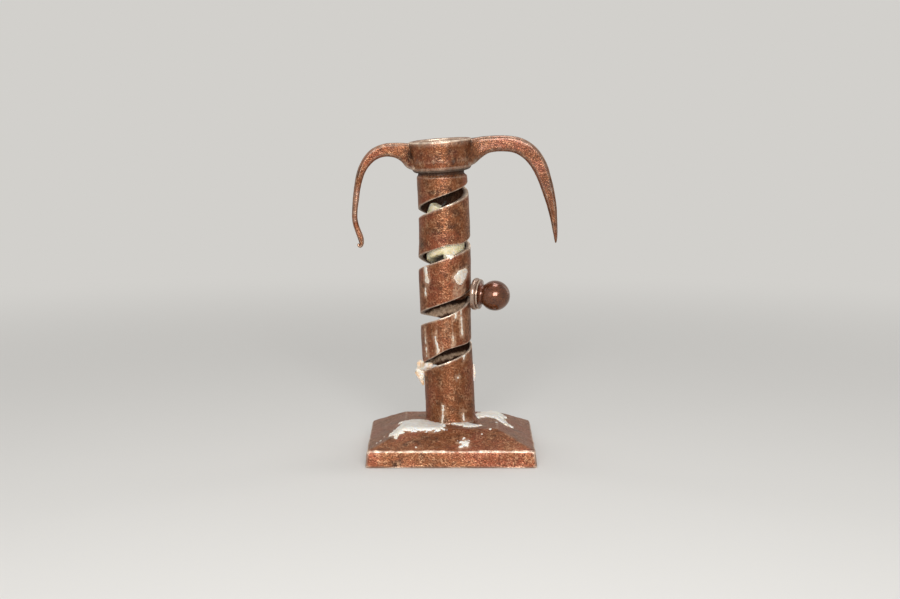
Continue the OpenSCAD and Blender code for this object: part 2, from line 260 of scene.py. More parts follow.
def edit(piece, kind="VERT"):
    """Edit mode on one piece with nothing selected."""
    clear()
    bpy.context.view_layer.objects.active = piece
    bpy.ops.object.mode_set(mode="EDIT")
    bpy.ops.mesh.select_mode(type=kind)
    bpy.ops.mesh.select_all(action="DESELECT")
    return bmesh.from_edit_mesh(piece.data)


def choose(mesh, part, test):
    """Selects the vertices, edges or faces that pass a test."""
    for element in getattr(mesh, part):
        if test(element):
            element.select_set(True)
    mesh.select_flush_mode()


def modify(piece, kind, **settings):
    """Adds one modifier and applies it."""
    clear()
    bpy.context.view_layer.objects.active = piece
    piece.select_set(True)
    modifier = piece.modifiers.new(kind.title(), kind)
    for name, value in settings.items():
        setattr(modifier, name, value)
    bpy.ops.object.modifier_apply(modifier=modifier.name)


def outwards(piece):
    """Closes the seams and turns every face outwards."""
    edit(piece)
    bpy.ops.mesh.select_all(action="SELECT")
    bpy.ops.mesh.remove_doubles(threshold=0.01 * MM)
    bpy.ops.mesh.normals_make_consistent(inside=False)
    clear()


def subdivide(piece, cuts):
    """Cuts every edge of a piece into cuts + 1 parts."""
    edit(piece)
    bpy.ops.mesh.select_all(action="SELECT")
    bpy.ops.mesh.subdivide(number_cuts=cuts)
    clear()


def place(piece, matrix):
    """Moves the mesh to its place, so that the object itself stays at the origin."""
    piece.data.transform(matrix)
    piece.data.update()


def finish(piece, body, slot, material, *nodes, crease=40):
    """Shades a piece, gives it its material and ties it to the frame."""
    clear()
    piece.select_set(True)
    bpy.context.view_layer.objects.active = piece
    bpy.ops.object.shade_smooth_by_angle(angle=math.radians(crease))
    piece.data.materials.clear()
    piece.data.materials.append(material)
    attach(piece, body)
    if nodes:
        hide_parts(*nodes)
    clear()


def polyline(name, points):
    """A line of edges through points, extruded from a single vertex."""
    clear()
    bpy.ops.mesh.primitive_plane_add(size=MM, location=points[0])
    piece = named(name)
    edit(piece)
    bpy.ops.object.mode_set(mode="OBJECT")
    piece.data.transform(piece.matrix_world)
    piece.location = (0, 0, 0)
    edit(piece)
    bpy.ops.mesh.select_all(action="SELECT")
    bpy.ops.mesh.merge(type="CENTER")
    for here, there in zip(points, points[1:]):
        step = Vector(there) - Vector(here)
        bpy.ops.mesh.extrude_region_move(TRANSFORM_OT_translate={"value": step})
    return piece


def lathe(name, profile_mm, steps=96):
    """A closed shape turned about Z from (radius, height) pairs in millimetres."""
    points = [(r * MM, 0, z * MM) for r, z in profile_mm]
    if profile_mm[0][0] > 0:
        points.append(points[0])
    piece = polyline(name, points)
    bpy.ops.mesh.select_all(action="SELECT")
    bpy.ops.mesh.spin(steps=steps, angle=2 * math.pi, center=(0, 0, 0), axis=(0, 0, 1))
    clear()
    outwards(piece)
    return piece


def section(width, thick, chamfer):
    """Section of a forged bar with hammered corners: width lies in its plane, thick across it."""
    flat = 0.4
    a, b = width / 2, thick / 2
    c = min(chamfer, (1 - flat) * a, (1 - flat) * b)
    quarter = [(a, flat * b), (a, b - c), (a - c, b), (flat * a, b)]
    half = quarter + [(-x, y) for x, y in reversed(quarter)]
    return half + [(-x, -y) for x, y in half]


def loft(name, rings):
    """A closed bar: a circle is extruded from ring to ring, and each is set to its section."""
    clear()
    bpy.ops.mesh.primitive_circle_add(vertices=len(rings[0]), radius=MM, fill_type="NGON")
    piece = named(name)
    mesh = edit(piece)
    ring = list(mesh.verts)
    for vert, point in zip(ring, rings[0]):
        vert.co = point
    for points in rings[1:]:
        mesh = bmesh.from_edit_mesh(piece.data)
        mesh.verts.ensure_lookup_table()
        order = [v.index for v in ring]
        for face in mesh.faces:
            face.select_set(False)
        cap = next(face for face in mesh.faces if {v.index for v in face.verts} == set(order))
        cap.select_set(True)
        before = len(mesh.verts)
        bpy.ops.mesh.extrude_region_move(TRANSFORM_OT_translate={"value": (0, 0, MM)})
        mesh = bmesh.from_edit_mesh(piece.data)
        mesh.verts.ensure_lookup_table()
        ring = []
        for index, point in zip(order, points):
            old = mesh.verts[index]
            joined = [edge.other_vert(old) for edge in old.link_edges]
            new = next(vert for vert in joined if vert.index >= before)
            new.co = point
            ring.append(new)
        bmesh.update_edit_mesh(piece.data)
    clear()
    outwards(piece)
    return piece


def wave(point, size_mm):
    """Smooth noise from -1 to 1, with waves of about this size."""
    return noise.noise(point / (size_mm * MM))


def roughen(piece, depth_mm, grain_mm, seed, hold=None):
    """Hammer marks and wear: moves each vertex along its normal by smooth noise."""
    shift = Vector((seed * 7.3, seed * 3.1, seed * 5.7))
    normals = [v.normal.copy() for v in piece.data.vertices]
    for vert, normal in zip(piece.data.vertices, normals):
        if hold and hold(vert.co):
            continue
        bump = noise.noise(vert.co / (grain_mm * MM) + shift)
        vert.co += normal * bump * depth_mm * MM
    piece.data.update()


def clamp(t):
    return min(max(t, 0.0), 1.0)


def ease(t):
    """Rises smoothly from 0 at 0 to 1 at 1."""
    t = clamp(t)
    return t * t * (3 - 2 * t)


def between(rows, at):
    """Values of a table of rows (place, value, ...), smoothly between its places."""
    if at <= rows[0][0]:
        return rows[0][1:]
    for low, high in zip(rows, rows[1:]):
        if at <= high[0]:
            t = ease((at - low[0]) / (high[0] - low[0]))
            return [a + (b - a) * t for a, b in zip(low[1:], high[1:])]
    return rows[-1][1:]


# The tube

# Height, then the forged half widths on the left and on the right
HALF_WIDTHS_MM = [
    (0, 15.3, 15.0), (30, 15.3, 14.9), (42, 16.1, 14.6), (52, 16.3, 14.4), (62, 16.2, 14.6),
    (75, 16.2, 15.3), (88, 16.2, 15.6), (100, 15.9, 16.0), (112, 15.1, 16.2), (122, 14.8, 16.3),
    (135, 14.8, 16.25), (145, 14.9, 15.85), (151, 14.9, 15.6),
]

# Turn past the front in degrees, then the slot's lower and upper edge from its middle
SLOT_EDGES_MM = [
    (-160, -3.4, 3.4), (-74, -3.6, 1.5), (-49.5, -3.55, 2), (0, -3.6, 4.0), (69, -3.5, 1.5),
    (180, -3.6, 2.5), (270, -6.5, 1.5), (360, -7.15, 1.35), (427, -5.8, 1.15), (436, -5.5, 1.15),
    (540, -4.5, 2.5), (630, -3.5, 4.7), (720, -3.5, 4.2), (770, -4, 1.15), (801, -5.4, 1.2),
    (900, -4, 2.5), (990, -3.5, 3.0), (1080, -3.5, 3.3), (1170, -3.8, 2.7), (1210, -3.6, 3.0),
]

# The helical sheet: its turns in all and below the slot's front, and its rows and columns a turn
TURNS = 7
TURNS_BELOW = 3
ROWS_PER_TURN = 42
STEPS_PER_TURN = 120

# The slot before it is shaped: half its rows, and how far in a face's middle has to lie
SLOT_ROWS = 5
SLACK_ROWS = 0.3

# How far the sawn edges pull the sheet along, and how the slot's ends are rounded: over the first
# angle inside the slot down to a least share of its width, and over the second one outside it
EDGE_FADE_MM = 11
END_ROUND_DEG = 14
END_SHARE = 0.25
RUN_OUT_DEG = 25

# The foot's flare, how deep it is let into the plate, and the rounding of the shoulder
FOOT_FLARE_MM = 1.2
FLARE_HEIGHT_MM = 2.2
LET_IN_MM = 0.3
SHOULDER_MM = 1.2


def from_front(point):
    """Degrees from the front, more than 0 on the right and less on the left."""
    return math.degrees(math.atan2(point.x, -point.y))


def slot_place(point):
    """The nearest turn of the slot: degrees past the front, and height above its middle."""
    front = sizes("tube").slot_front
    angle = from_front(point) % 360
    lap = round((point.z - front) / PITCH - angle / 360)
    angle += 360 * lap
    return angle, point.z - front - PITCH * angle / 360


def in_slot(point):
    tube = sizes("tube")
    angle, above = slot_place(point)
    reach = (SLOT_ROWS - SLACK_ROWS) * PITCH / ROWS_PER_TURN
    return (math.degrees(tube.slot_start) < angle < math.degrees(tube.slot_end)
            and abs(above) < reach)


def sawn(point):
    """Moves a point of the even grid so that the slot's edges run where they were sawn."""
    tube = sizes("tube")
    angle, above = slot_place(point)
    start, end = math.degrees(tube.slot_start), math.degrees(tube.slot_end)
    if not start - RUN_OUT_DEG < angle < end + RUN_OUT_DEG:
        return point
    half = SLOT_ROWS * PITCH / ROWS_PER_TURN
    low, high = (v * MM for v in between(SLOT_EDGES_MM, angle))
    inside = min(angle - start, end - angle)
    if inside >= 0:
        t = min(inside / END_ROUND_DEG, 1)
        share = max(math.sqrt(1 - (1 - t) ** 2), END_SHARE)
        low, high = low * share, high * share
    else:
        back = ease(-inside / RUN_OUT_DEG)
        low += (-half - low) * back - low * (1 - END_SHARE) * (1 - back)
        high += (half - high) * back - high * (1 - END_SHARE) * (1 - back)
    if abs(above) <= half:
        t = (above + half) / (2 * half)
        moved = low + (high - low) * t
    elif above < 0:
        moved = above + (low + half) * ease(1 - (-half - above) / (EDGE_FADE_MM * MM))
    else:
        moved = above + (high - half) * ease(1 - (above - half) / (EDGE_FADE_MM * MM))
    return Vector((point.x, point.y, point.z + moved - above))


def outer_radius(angle, height):
    """Radius of the forged tube at a turn past the front and a height."""
    tube = sizes("tube")
    left, right = between(HALF_WIDTHS_MM, height / MM)
    radius = ((left + right) / 2 + (right - left) / 2 * math.sin(math.radians(angle))) * MM
    radius += ease(1 - height / (FLARE_HEIGHT_MM * MM)) * FOOT_FLARE_MM * MM
    over = (height - tube.shoulder) / (SHOULDER_MM * MM) + 1
    return radius + (tube.spigot - radius) * ease(over)


def column_mesh():
    """The tube upright: a helical sheet, cut to length, sawn, thickened and hammered."""
    tube = sizes("tube")
    row = PITCH / ROWS_PER_TURN
    low = tube.slot_front - TURNS_BELOW * PITCH
    piece = polyline("forged_column",
                     [(0, -tube.blank, low), (0, -tube.blank, low + TURNS * PITCH)])
    subdivide(piece, TURNS - 1)
    subdivide(piece, ROWS_PER_TURN - 1)
    modify(piece, "SCREW", axis="Z", angle=2 * math.pi, screw_offset=PITCH, steps=STEPS_PER_TURN,
           render_steps=STEPS_PER_TURN, use_merge_vertices=False)
    outwards(piece)
    # Cut level with the plate below and square with the tube above
    edit(piece)
    bpy.ops.mesh.select_all(action="SELECT")
    bpy.ops.mesh.bisect(plane_co=(0, 0, -LET_IN_MM * MM), clear_inner=True,
                        plane_no=(math.sin(LEAN), 0, math.cos(LEAN)))
    bpy.ops.mesh.select_all(action="SELECT")
    bpy.ops.mesh.bisect(plane_co=(0, 0, tube.top), plane_no=(0, 0, 1), clear_outer=True)
    mesh = edit(piece, "FACE")
    choose(mesh, "faces", lambda f: in_slot(f.calc_center_median()))
    bpy.ops.mesh.delete(type="FACE")
    clear()
    for vert in piece.data.vertices:
        if row < vert.co.z < tube.top - row:
            vert.co = sawn(vert.co)
    modify(piece, "SOLIDIFY", thickness=tube.wall, offset=1, use_rim=True)
    middle = tube.blank + tube.wall / 2
    for vert in piece.data.vertices:
        rho = math.hypot(vert.co.x, vert.co.y)
        if rho > middle:
            radius = outer_radius(from_front(vert.co), vert.co.z) + 0.1 * MM * wave(vert.co, 7)
        else:
            radius = tube.bore + 0.05 * MM * wave(vert.co, 4)
        vert.co.x *= radius / rho
        vert.co.y *= radius / rho
    outwards(piece)
    modify(piece, "BEVEL", width=tube.edge_wear, segments=2, limit_method="ANGLE",
           angle_limit=math.radians(38), harden_normals=False)
    roughen(piece, 0.05, 2.2, 2)
    return piece


# Values of pointed between which a sharp or a soft edge wears bare and gets a painted highlight, and a hollow gets
# painted shade
SHARP_EDGE = (0.515, 0.56)
SOFT_EDGE = (0.503, 0.53)
HOLLOW = (0.49, 0.42)
HOLLOW_SHADE = 0.6


def mark(piece, name, values):
    """Stores one number for each vertex, which a material reads."""
    piece.data.attributes.new(name, "FLOAT", "POINT").data.foreach_set("value", values)


def pointed(piece):
    """How far each vertex stands out from those round it: 0.5 on a flat, more on an edge and less
    in a hollow, averaged over the neighbours twice."""
    mesh = bmesh.new()
    mesh.from_mesh(piece.data)
    values, rings = [], []
    for vert in mesh.verts:
        ring = [edge.other_vert(vert) for edge in vert.link_edges]
        pull = sum(((other.co - vert.co).normalized() for other in ring), Vector())
        level = vert.normal.dot(pull) / max(len(ring), 1)
        values.append(math.acos(max(-1.0, min(1.0, level))) / math.pi)
        rings.append([other.index for other in ring])
    mesh.free()
    for _ in range(2):
        values = [(value + sum(values[i] for i in ring)) / (1 + len(ring))
                  for value, ring in zip(values, rings)]
    return values


def weather(piece, edge=SHARP_EDGE, wear=None, grime=None):
    """Marks where a piece is worn bare and painted with a highlight, and where shade is painted:
    by its shape, and by the wear and shade functions where they are given."""
    worn, shaded = [], []
    for vert, sharp in zip(piece.data.vertices, pointed(piece)):
        keen = clamp((sharp - edge[0]) / (edge[1] - edge[0]))
        # Hollows are darkened with painted shade
        hollow = HOLLOW_SHADE * clamp((HOLLOW[0] - sharp) / (HOLLOW[0] - HOLLOW[1]))
        worn.append(max(keen, wear(vert.co)) if wear else keen)
        shaded.append(max(hollow, grime(vert.co)) if grime else hollow)
    mark(piece, "worn_edge", worn)
    mark(piece, "grime", shaded)


# Wax

def edge_distance(u, v, outline):
    """Signed distance from an outline, positive inside it."""
    best = math.inf
    inside = False
    for (ax, ay), (bx, by) in zip(outline, outline[1:] + outline[:1]):
        if (ay > v) != (by > v) and u < ax + (v - ay) * (bx - ax) / (by - ay):
            inside = not inside
        dx, dy = bx - ax, by - ay
        t = max(0, min(1, ((u - ax) * dx + (v - ay) * dy) / (dx * dx + dy * dy)))
        best = min(best, math.hypot(u - ax - t * dx, v - ay - t * dy))
    return best if inside else -best


def ragged(u, v, outline, seed, rough=2.8):
    """Distance inside a ragged edge of wax, with long waves and short ripples, in millimetres."""
    waves = noise.noise(Vector((u / 2.6, v / 2.6, seed)))
    ripples = noise.noise(Vector((u / 0.9, v / 1.4, seed + 9)))
    return edge_distance(u, v, outline) + rough * waves + 0.5 * rough * ripples


def corners_of(outline, margin):
    """The lowest and the highest corner of an outline, with a margin round it."""
    us, vs = zip(*outline)
    return (min(us) - margin, min(vs) - margin), (max(us) + margin, max(vs) + margin)


# Plan outlines on the foot, in millimetres
FOOT_SPILLS_MM = {
    "wax_spill_left": [
        (-14.3, -5), (-17.5, -2.5), (-23, -3.5), (-26.5, -6.5), (-31, -5), (-33, -7), (-29.5, -11),
        (-31.5, -17), (-34.5, -25), (-37, -33), (-33.5, -37), (-30, -33.5), (-27.5, -31),
        (-22, -31.5), (-15, -30.5), (-8, -31), (-4.5, -29), (-4.2, -24), (-5.2, -18), (-5, -14),
        (-10, -11)],
    "wax_spill_right": [
        (0.5, -14.6), (2.2, -18), (5, -21), (7.5, -25), (11, -26), (14.6, -25),
        (17.8, -20.5), (13.6, -16.6), (11, -15), (9.6, -9.5), (7, -12.4)],
    "wax_spill_back": [
        (14, 3), (17, 5), (21.5, 7.5), (25.5, 6), (29, 0), (33, -6.5), (37.5, -5.5), (36.5, 1),
        (33.5, 6), (31.5, 11), (34.5, 17), (32, 24.5), (26, 27), (19, 23), (14, 14)],
    "wax_spot": [
        (4.4, -42.2), (6.6, -40.6), (7.2, -37.2), (8.8, -39.6), (11.2, -40.6), (10, -43),
        (10.6, -46.2), (7.8, -45.2), (5.2, -46.6), (5.9, -43.6)],
}

# Small splashes on the foot: middle and radius in millimetres
FOOT_SPLASHES_MM = [
    (-42.5, -34.5, 0.9), (-44.5, -36.2, 0.8), (-36.5, -26.5, 1.0), (-34.3, -23.3, 0.7),
    (18.5, -33.5, 0.6), (23.5, -28.5, 0.9), (-40.5, -27.0, 0.6), (27.5, -10.5, 0.8),
    (-21, -46.5, 0.7), (33, -2, 0.7),
]

# Outlines on the tube: arc to the right of the front, and height, in millimetres
TUBE_SMEARS_MM = {
    "smear": [(15.2, 94.6), (16.6, 92), (14.5, 87.8), (11.5, 85.3), (8.6, 84.9), (6.8, 86.6),
              (5.6, 88.2), (5.9, 90.8), (8.4, 93.3), (12, 94.4)],
    "left_drip": [(-14.4, 96.4), (-11.6, 96.6), (-11.7, 91.2), (-10.4, 88.1), (-11.2, 86.4),
                  (-14.6, 86.6), (-13.8, 89.5)],
    "left_drip_end": [(-14.4, 83.5), (-13.2, 83.6), (-13.3, 78.6), (-14.3, 78.4)],
    "right_run": [(9.4, 71.4), (10.6, 71), (10.3, 66), (10.9, 61), (11.3, 53.2), (9.5, 53.4),
                  (9.7, 60), (9.3, 65)],
    "short_run": [(5.2, 68.4), (6.6, 68.8), (6.2, 64.8), (5, 64.2)],
    "middle_run": [(-8.6, 54.2), (-7.6, 54), (-7.2, 51), (-6.2, 48.5), (-5.4, 45.6), (-5.9, 43.8),
                   (-7.4, 43.6), (-7.3, 46.5), (-8, 50)],
    "thin_run": [(3.3, 54), (4.3, 54), (4.1, 50), (3.9, 48.2), (3.2, 48.4)],
    "left_film": [(-16.6, 54), (-15.9, 54), (-15.2, 48), (-14.9, 41.2), (-16, 41.2), (-16.4, 48)],
    "low_patch": [(8.8, 46), (12, 46.2), (14.6, 44.6), (12.4, 41.4), (10.6, 38.2), (9.4, 41)],
    "low_dot": [(5.2, 28.6), (6, 28.8), (6.2, 27.6), (5.4, 27.4)],
    "foot_run": [(-5.2, 11.4), (-4.4, 11.4), (-4.6, 5), (-5.2, 0.6), (-6.4, 0.6), (-5.8, 6)],
    "foot_spike": [(8.2, 7.4), (8.9, 7.4), (9.4, 1.2), (7.8, 1.2)],
}


class Surface:
    """Finds points on a modelled piece, over its plan or round the tube."""

    def __init__(self, piece):
        self.tree = BVHTree.FromObject(piece, bpy.context.evaluated_depsgraph_get())

    def below(self, u, v):
        """The point and normal straight below a height over the foot."""
        hit, normal, _, _ = self.tree.ray_cast(Vector((u, v, 50 * MM)), -UP)
        return hit, normal

    def beside(self, u, v):
        """The point and normal at an arc and a height, or none where the slot is."""
        angle = u / sizes("tube").blank
        start, slack = 30 * MM, 1.2 * MM
        out = Vector((math.sin(angle), -math.cos(angle), 0))
        hit, normal, _, far = self.tree.ray_cast(on_tube() @ (out * start + UP * v),
                                                 -(on_tube().to_3x3() @ out))
        if hit is None or far > start - outer_radius(math.degrees(angle), v) + slack:
            return None, None
        return hit, normal


def wax_sheet(name, inside, corners, find, thick, soft_mm=0.7):
    """A thin closed skin of wax on a surface, wherever inside(u, v) is positive. It is thin at its
    edge and thick from soft_mm inside it, and its back lies in the surface."""
    step = sizes("wax").grid
    (u0, v0), (u1, v1) = ((c[0] * MM, c[1] * MM) for c in corners)
    clear()
    bpy.ops.mesh.primitive_grid_add(x_subdivisions=max(4, round((u1 - u0) / step)),
                                    y_subdivisions=max(4, round((v1 - v0) / step)), size=1,
                                    location=(0, 0, 0))
    piece = named(name)
    mesh = edit(piece)
    depth = {}
    for vert in mesh.verts:
        vert.co.x = u0 + (vert.co.x + 0.5) * (u1 - u0)
        vert.co.y = v0 + (vert.co.y + 0.5) * (v1 - v0)
        depth[vert.index] = inside(vert.co.x / MM, vert.co.y / MM)
    choose(mesh, "verts", lambda v: depth[v.index] < 0 or find(v.co.x, v.co.y)[0] is None)
    bpy.ops.mesh.delete(type="VERT")
    mesh = bmesh.from_edit_mesh(piece.data)
    choose(mesh, "verts", lambda v: not v.link_faces)
    bpy.ops.mesh.delete(type="VERT")
    mesh = bmesh.from_edit_mesh(piece.data)
    if not mesh.verts:
        raise RuntimeError(f"{name} has no wax left")
    # The boundary moves on to the outline, down the slope of inside
    near, least_slope = 0.05, 0.2
    for vert in mesh.verts:
        if vert.is_boundary:
            u, v = vert.co.x / MM, vert.co.y / MM
            here = inside(u, v)
            slope = Vector((inside(u + near, v) - here, inside(u, v + near) - here)) / near
            if slope.length > least_slope:
                move = -here * slope / slope.length_squared
                if move.length < step / MM:
                    vert.co.x += move.x * MM
                    vert.co.y += move.y * MM
    for vert in mesh.verts:
        u, v = vert.co.x, vert.co.y
        hit, normal = find(u, v)
        if hit is None:
            hit, normal = find(u * 0.99, v * 0.99)
        rise = ease(inside(u / MM, v / MM) / soft_mm) ** 0.5 if not vert.is_boundary else 0
        swell = 1 + 0.35 * wave(Vector((u, v, 3)), 2.2)
        vert.co = hit + normal * (thick * rise * swell + 0.02 * MM)
    bmesh.update_edit_mesh(piece.data)
    clear()
    modify(piece, "SOLIDIFY", thickness=0.25 * MM, offset=-1, use_rim=True)
    outwards(piece)
    return piece


def join(name, pieces):
    clear()
    for piece in pieces:
        piece.select_set(True)
    bpy.context.view_layer.objects.active = pieces[0]
    bpy.ops.object.join()
    return named(name)


def blob(name, runs_mm, grain_mm, smooth):
    """Wax that ran down the tube and set: each run goes through stations of (x, y, z, radius) in
    millimetres, a bead every half radius, and all the runs are melted into one smooth lump."""
    beads = []
    for run in runs_mm:
        for here, there in zip(run, run[1:]):
            steps = math.ceil(math.dist(here[:3], there[:3]) / (0.5 * min(here[3], there[3])))
            for i in range(steps + 1):
                x, y, z, radius = (a + (b - a) * i / steps for a, b in zip(here, there))
                clear()
                bpy.ops.mesh.primitive_uv_sphere_add(segments=16, ring_count=10, radius=radius * MM)
                bead = named("bead")
                place(bead, Matrix.Translation(Vector((x, y, z)) * MM))
                beads.append(bead)
    piece = join(name, beads)
    modify(piece, "REMESH", mode="VOXEL", voxel_size=grain_mm * MM)
    modify(piece, "SMOOTH", factor=0.5, iterations=smooth)
    roughen(piece, 0.25, 1.6, 41)
    place(piece, on_tube())
    return piece


# Materials

def feed(node, inputs):
    """Sets a node's inputs, or links them where another node's output is given. A list keeps the
    node's own order, and a dict goes by name."""
    live = [socket for socket in node.inputs if socket.enabled]
    for key, value in inputs.items() if isinstance(inputs, dict) else enumerate(inputs):
        socket = node.inputs[key] if isinstance(key, str) else live[key]
        if isinstance(value, bpy.types.NodeSocket):
            node.id_data.links.new(value, socket)
        else:
            socket.default_value = (*value, 1) if socket.type == "RGBA" else value


def add(tree, kind, inputs=(), output=0, stops=(), **settings):
    """Adds a node with its settings, colour stops and links, and gives one of its outputs."""
    node = tree.nodes.new(kind)
    for name, value in settings.items():
        setattr(node, name, value)
    for number, (at, colour) in enumerate(stops):
        elements = node.color_ramp.elements
        stop = elements[number] if number < len(elements) else elements.new(at)
        stop.position, stop.color = at, (*colour, 1)
    feed(node, inputs)
    if isinstance(output, str):
        return node.outputs[output]
    return [socket for socket in node.outputs if socket.enabled][output]


def start_material(name, *patterns_mm):
    """A new material, its tree, its shader and its noise patterns, each given as the size of its
    features in millimetres, its detail and its roughness."""
    material = bpy.data.materials.new(name)
    material.use_nodes = True
    tree = material.node_tree
    coords = add(tree, "ShaderNodeTexCoord", output="Object")
    patterns = [add(tree, "ShaderNodeTexNoise", {"Vector": coords, "Scale": 1 / (size * MM),
                                                 "Detail": detail, "Roughness": rough})
                for size, detail, rough in patterns_mm]
    return material, tree, tree.nodes["Principled BSDF"], patterns


def layered(tree, base, layers):
    """Lays colours over a base: each layer is a pattern, where it starts to show and where it is
    full, its share at most, and its colour."""
    for pattern, start, full, most, colour in layers:
        share = add(tree, "ShaderNodeMapRange", {"Value": pattern, "From Min": start,
                                                 "From Max": full, "To Max": most})
        base = add(tree, "ShaderNodeMix", [share, base, colour], data_type="RGBA")
    return base


def forged_iron(name, polish=0.0, dark=0.0):
    """Wrought iron, hammered hot and left with a brown rust patina, since oiled and rubbed: mottled
    brown and brick red, glinting on its grain, with pale specks that are partly dust and partly
    painted glints, black in the pits, darkened with painted shade in corners, gaps and inside the
    tube, pale along its edges with wear and painted highlights, and grey and dull where wax was
    rubbed over it, with pale wax strips painted inside the tube where light falls through the slot.
    Its patina browns what glances off its sides. The grain of the real iron is finer than the
    render shows, so it is drawn 1 mm wide."""
    colours = sizes("colours")
    material, tree, shader, (mottle, patches, grain, coarse, crumbs) = start_material(
        name, (11, 5, 0.6), (19, 3, 0.5), (1.0, 2, 0.6), (3.2, 3, 0.6), (1.6, 4, 0.7))
    worn_edge, grime, wax_film = (
        add(tree, "ShaderNodeAttribute", output="Fac", attribute_name=layer)
        for layer in ("worn_edge", "grime", "wax_film"))
    # dark makes a darker copy of the iron; on the spike and on the parts inside the tube that darkening is painted
    # shade
    rust, umber, red = ([c * (1 - dark) for c in tone]
                        for tone in (colours.rust, colours.umber, colours.red))
    # Pale edges: partly wear, partly painted highlight
    worn = add(tree, "ShaderNodeMath", [worn_edge, coarse], operation="MULTIPLY")
    dust = add(tree, "ShaderNodeMath", [grain, coarse], operation="MULTIPLY")
    film = add(tree, "ShaderNodeMapRange", {"Value": crumbs, "From Min": 0.35, "From Max": 0.62,
                                            "To Min": 0.25})
    film = add(tree, "ShaderNodeMath", [film, wax_film], operation="MULTIPLY")
    stops = [(0.3, umber), (0.47, rust), (0.56, rust), (0.72, umber)]
    base = layered(tree, add(tree, "ShaderNodeValToRGB", [mottle], stops=stops), [
        (patches, 0.46, 0.62, 0.6, red),
        (grain, 0.48, 0.36, 0.6, umber),
        # Partly dust, partly painted glints on the grain
        (dust, 0.25, 0.42, 0.45 * (1 - polish) * (1 - dark), colours.tan),
        # Partly wear, partly painted highlight
        (worn, 0, 0.55, 0.95 * (1 - dark), colours.bare),
        # Painted shade in hollows, gaps and inside
        (grime, 0, 1, 0.9, colours.shade),
        # Rubbed wax, and pale strips inside the tube painted where light falls through the slot
        (film, 0, 1, 1, Vector(colours.wax).lerp(Vector(colours.old_wax), 0.6))])
    metal = add(tree, "ShaderNodeMapRange", {"Value": worn, "From Max": 0.5, "To Min": 0.5,
                                             "To Max": 0.8})
    cover = add(tree, "ShaderNodeMath", [grime, film], operation="MAXIMUM")
    metal = add(tree, "ShaderNodeMath", [metal, cover], operation="SUBTRACT", use_clamp=True)
    rough = add(tree, "ShaderNodeMapRange", {
        "Value": grain, "From Min": 0.35, "From Max": 0.65, "To Min": 0.5 - 0.28 * polish,
        "To Max": 0.27 - 0.12 * polish})
    rough = add(tree, "ShaderNodeMath", [grime, 0.5, rough], operation="MULTIPLY_ADD")
    relief = add(tree, "ShaderNodeMath", [coarse, 0.6, grain], operation="MULTIPLY_ADD")
    bump = add(tree, "ShaderNodeBump", {"Height": relief, "Strength": 0.8 - 0.7 * polish,
                                        "Distance": 0.4 * MM})
    feed(shader, {"Base Color": base, "Metallic": metal, "Roughness": rough, "Normal": bump,
                  "Specular IOR Level": 0.35 + 0.15 * polish, "Specular Tint": colours.glance,
                  "Coat Weight": 0.1 + 0.6 * polish, "Coat Roughness": 0.3 - 0.25 * polish})
    return material


def set_wax(name, fresh, aged, share):
    """Candle wax set after a spill: milky and soft-edged, glowing a little where thin, with
    yellowed patches, fine dust, and painted shade where a piece marks it, as in the candle's bite."""
    colours = sizes("colours")
    material, tree, shader, (cloud, dust, skin) = start_material(
        name, (4, 3, 0.5), (0.8, 2, 0.6), (1.5, 3, 0.5))
    grime = add(tree, "ShaderNodeAttribute", output="Fac", attribute_name="grime")
    base = layered(tree, fresh, [
        (cloud, 0.4, 0.66, share, aged),
        (dust, 0.56, 0.7, 0.14, colours.rust),
        (grime, 0, 1, 0.97, colours.shade)])
    bump = add(tree, "ShaderNodeBump", {"Height": skin, "Strength": 0.3, "Distance": 0.2 * MM})
    feed(shader, {"Base Color": base, "Normal": bump, "Roughness": 0.42, "IOR": 1.44,
                  "Subsurface Weight": 0.3, "Subsurface Radius": (1.0, 0.75, 0.5),
                  "Subsurface Scale": 1.0 * MM})
    return material


def burnt_cotton(name):
    """Braided cotton wick, charred at the top: black, dull and crumbly."""
    material, tree, shader, (char,) = start_material(name, (0.5, 3, 0.7))
    base = add(tree, "ShaderNodeValToRGB", [char],
               stops=[(0.35, srgb("#120f0d")), (0.65, srgb("#4a4038"))])
    bump = add(tree, "ShaderNodeBump", {"Height": char, "Strength": 0.8, "Distance": 0.2 * MM})
    feed(shader, {"Base Color": base, "Normal": bump, "Roughness": 0.95})
    return material


def seen(tree):
    """1 for what the camera sees, straight, through glass or in a shiny surface, and 0 for the
    light that is shed."""
    direct, through, mirrored = (add(tree, "ShaderNodeLightPath", output=f"Is {ray} Ray")
                                 for ray in ("Camera", "Transmission", "Glossy"))
    either = add(tree, "ShaderNodeMath", [direct, through], operation="MAXIMUM")
    return add(tree, "ShaderNodeMath", [either, mirrored], operation="MAXIMUM")


def studio_paper(name):
    """Seamless studio paper: smooth, matt and pale, running out into the backdrop."""
    material, tree, shader, _ = start_material(name)
    colours = sizes("colours")
    feed(shader, {"Base Color": colours.floor, "Roughness": 0.9, "Specular IOR Level": 0.2})
    coords = add(tree, "ShaderNodeTexCoord", output="Object")
    far = add(tree, "ShaderNodeVectorMath", [coords], output="Value", operation="LENGTH")
    fade = add(tree, "ShaderNodeMapRange", {"Value": far, "From Min": 0.22, "From Max": 0.95},
               interpolation_type="SMOOTHSTEP")
    share = add(tree, "ShaderNodeMath", [fade, seen(tree)], operation="MULTIPLY")
    glow = add(tree, "ShaderNodeEmission", {"Color": colours.backdrop})
    blend = add(tree, "ShaderNodeMixShader", [share, shader.outputs["BSDF"], glow])
    feed(tree.nodes["Material Output"], {"Surface": blend})
    return material


MATERIALS = {}


# Operators

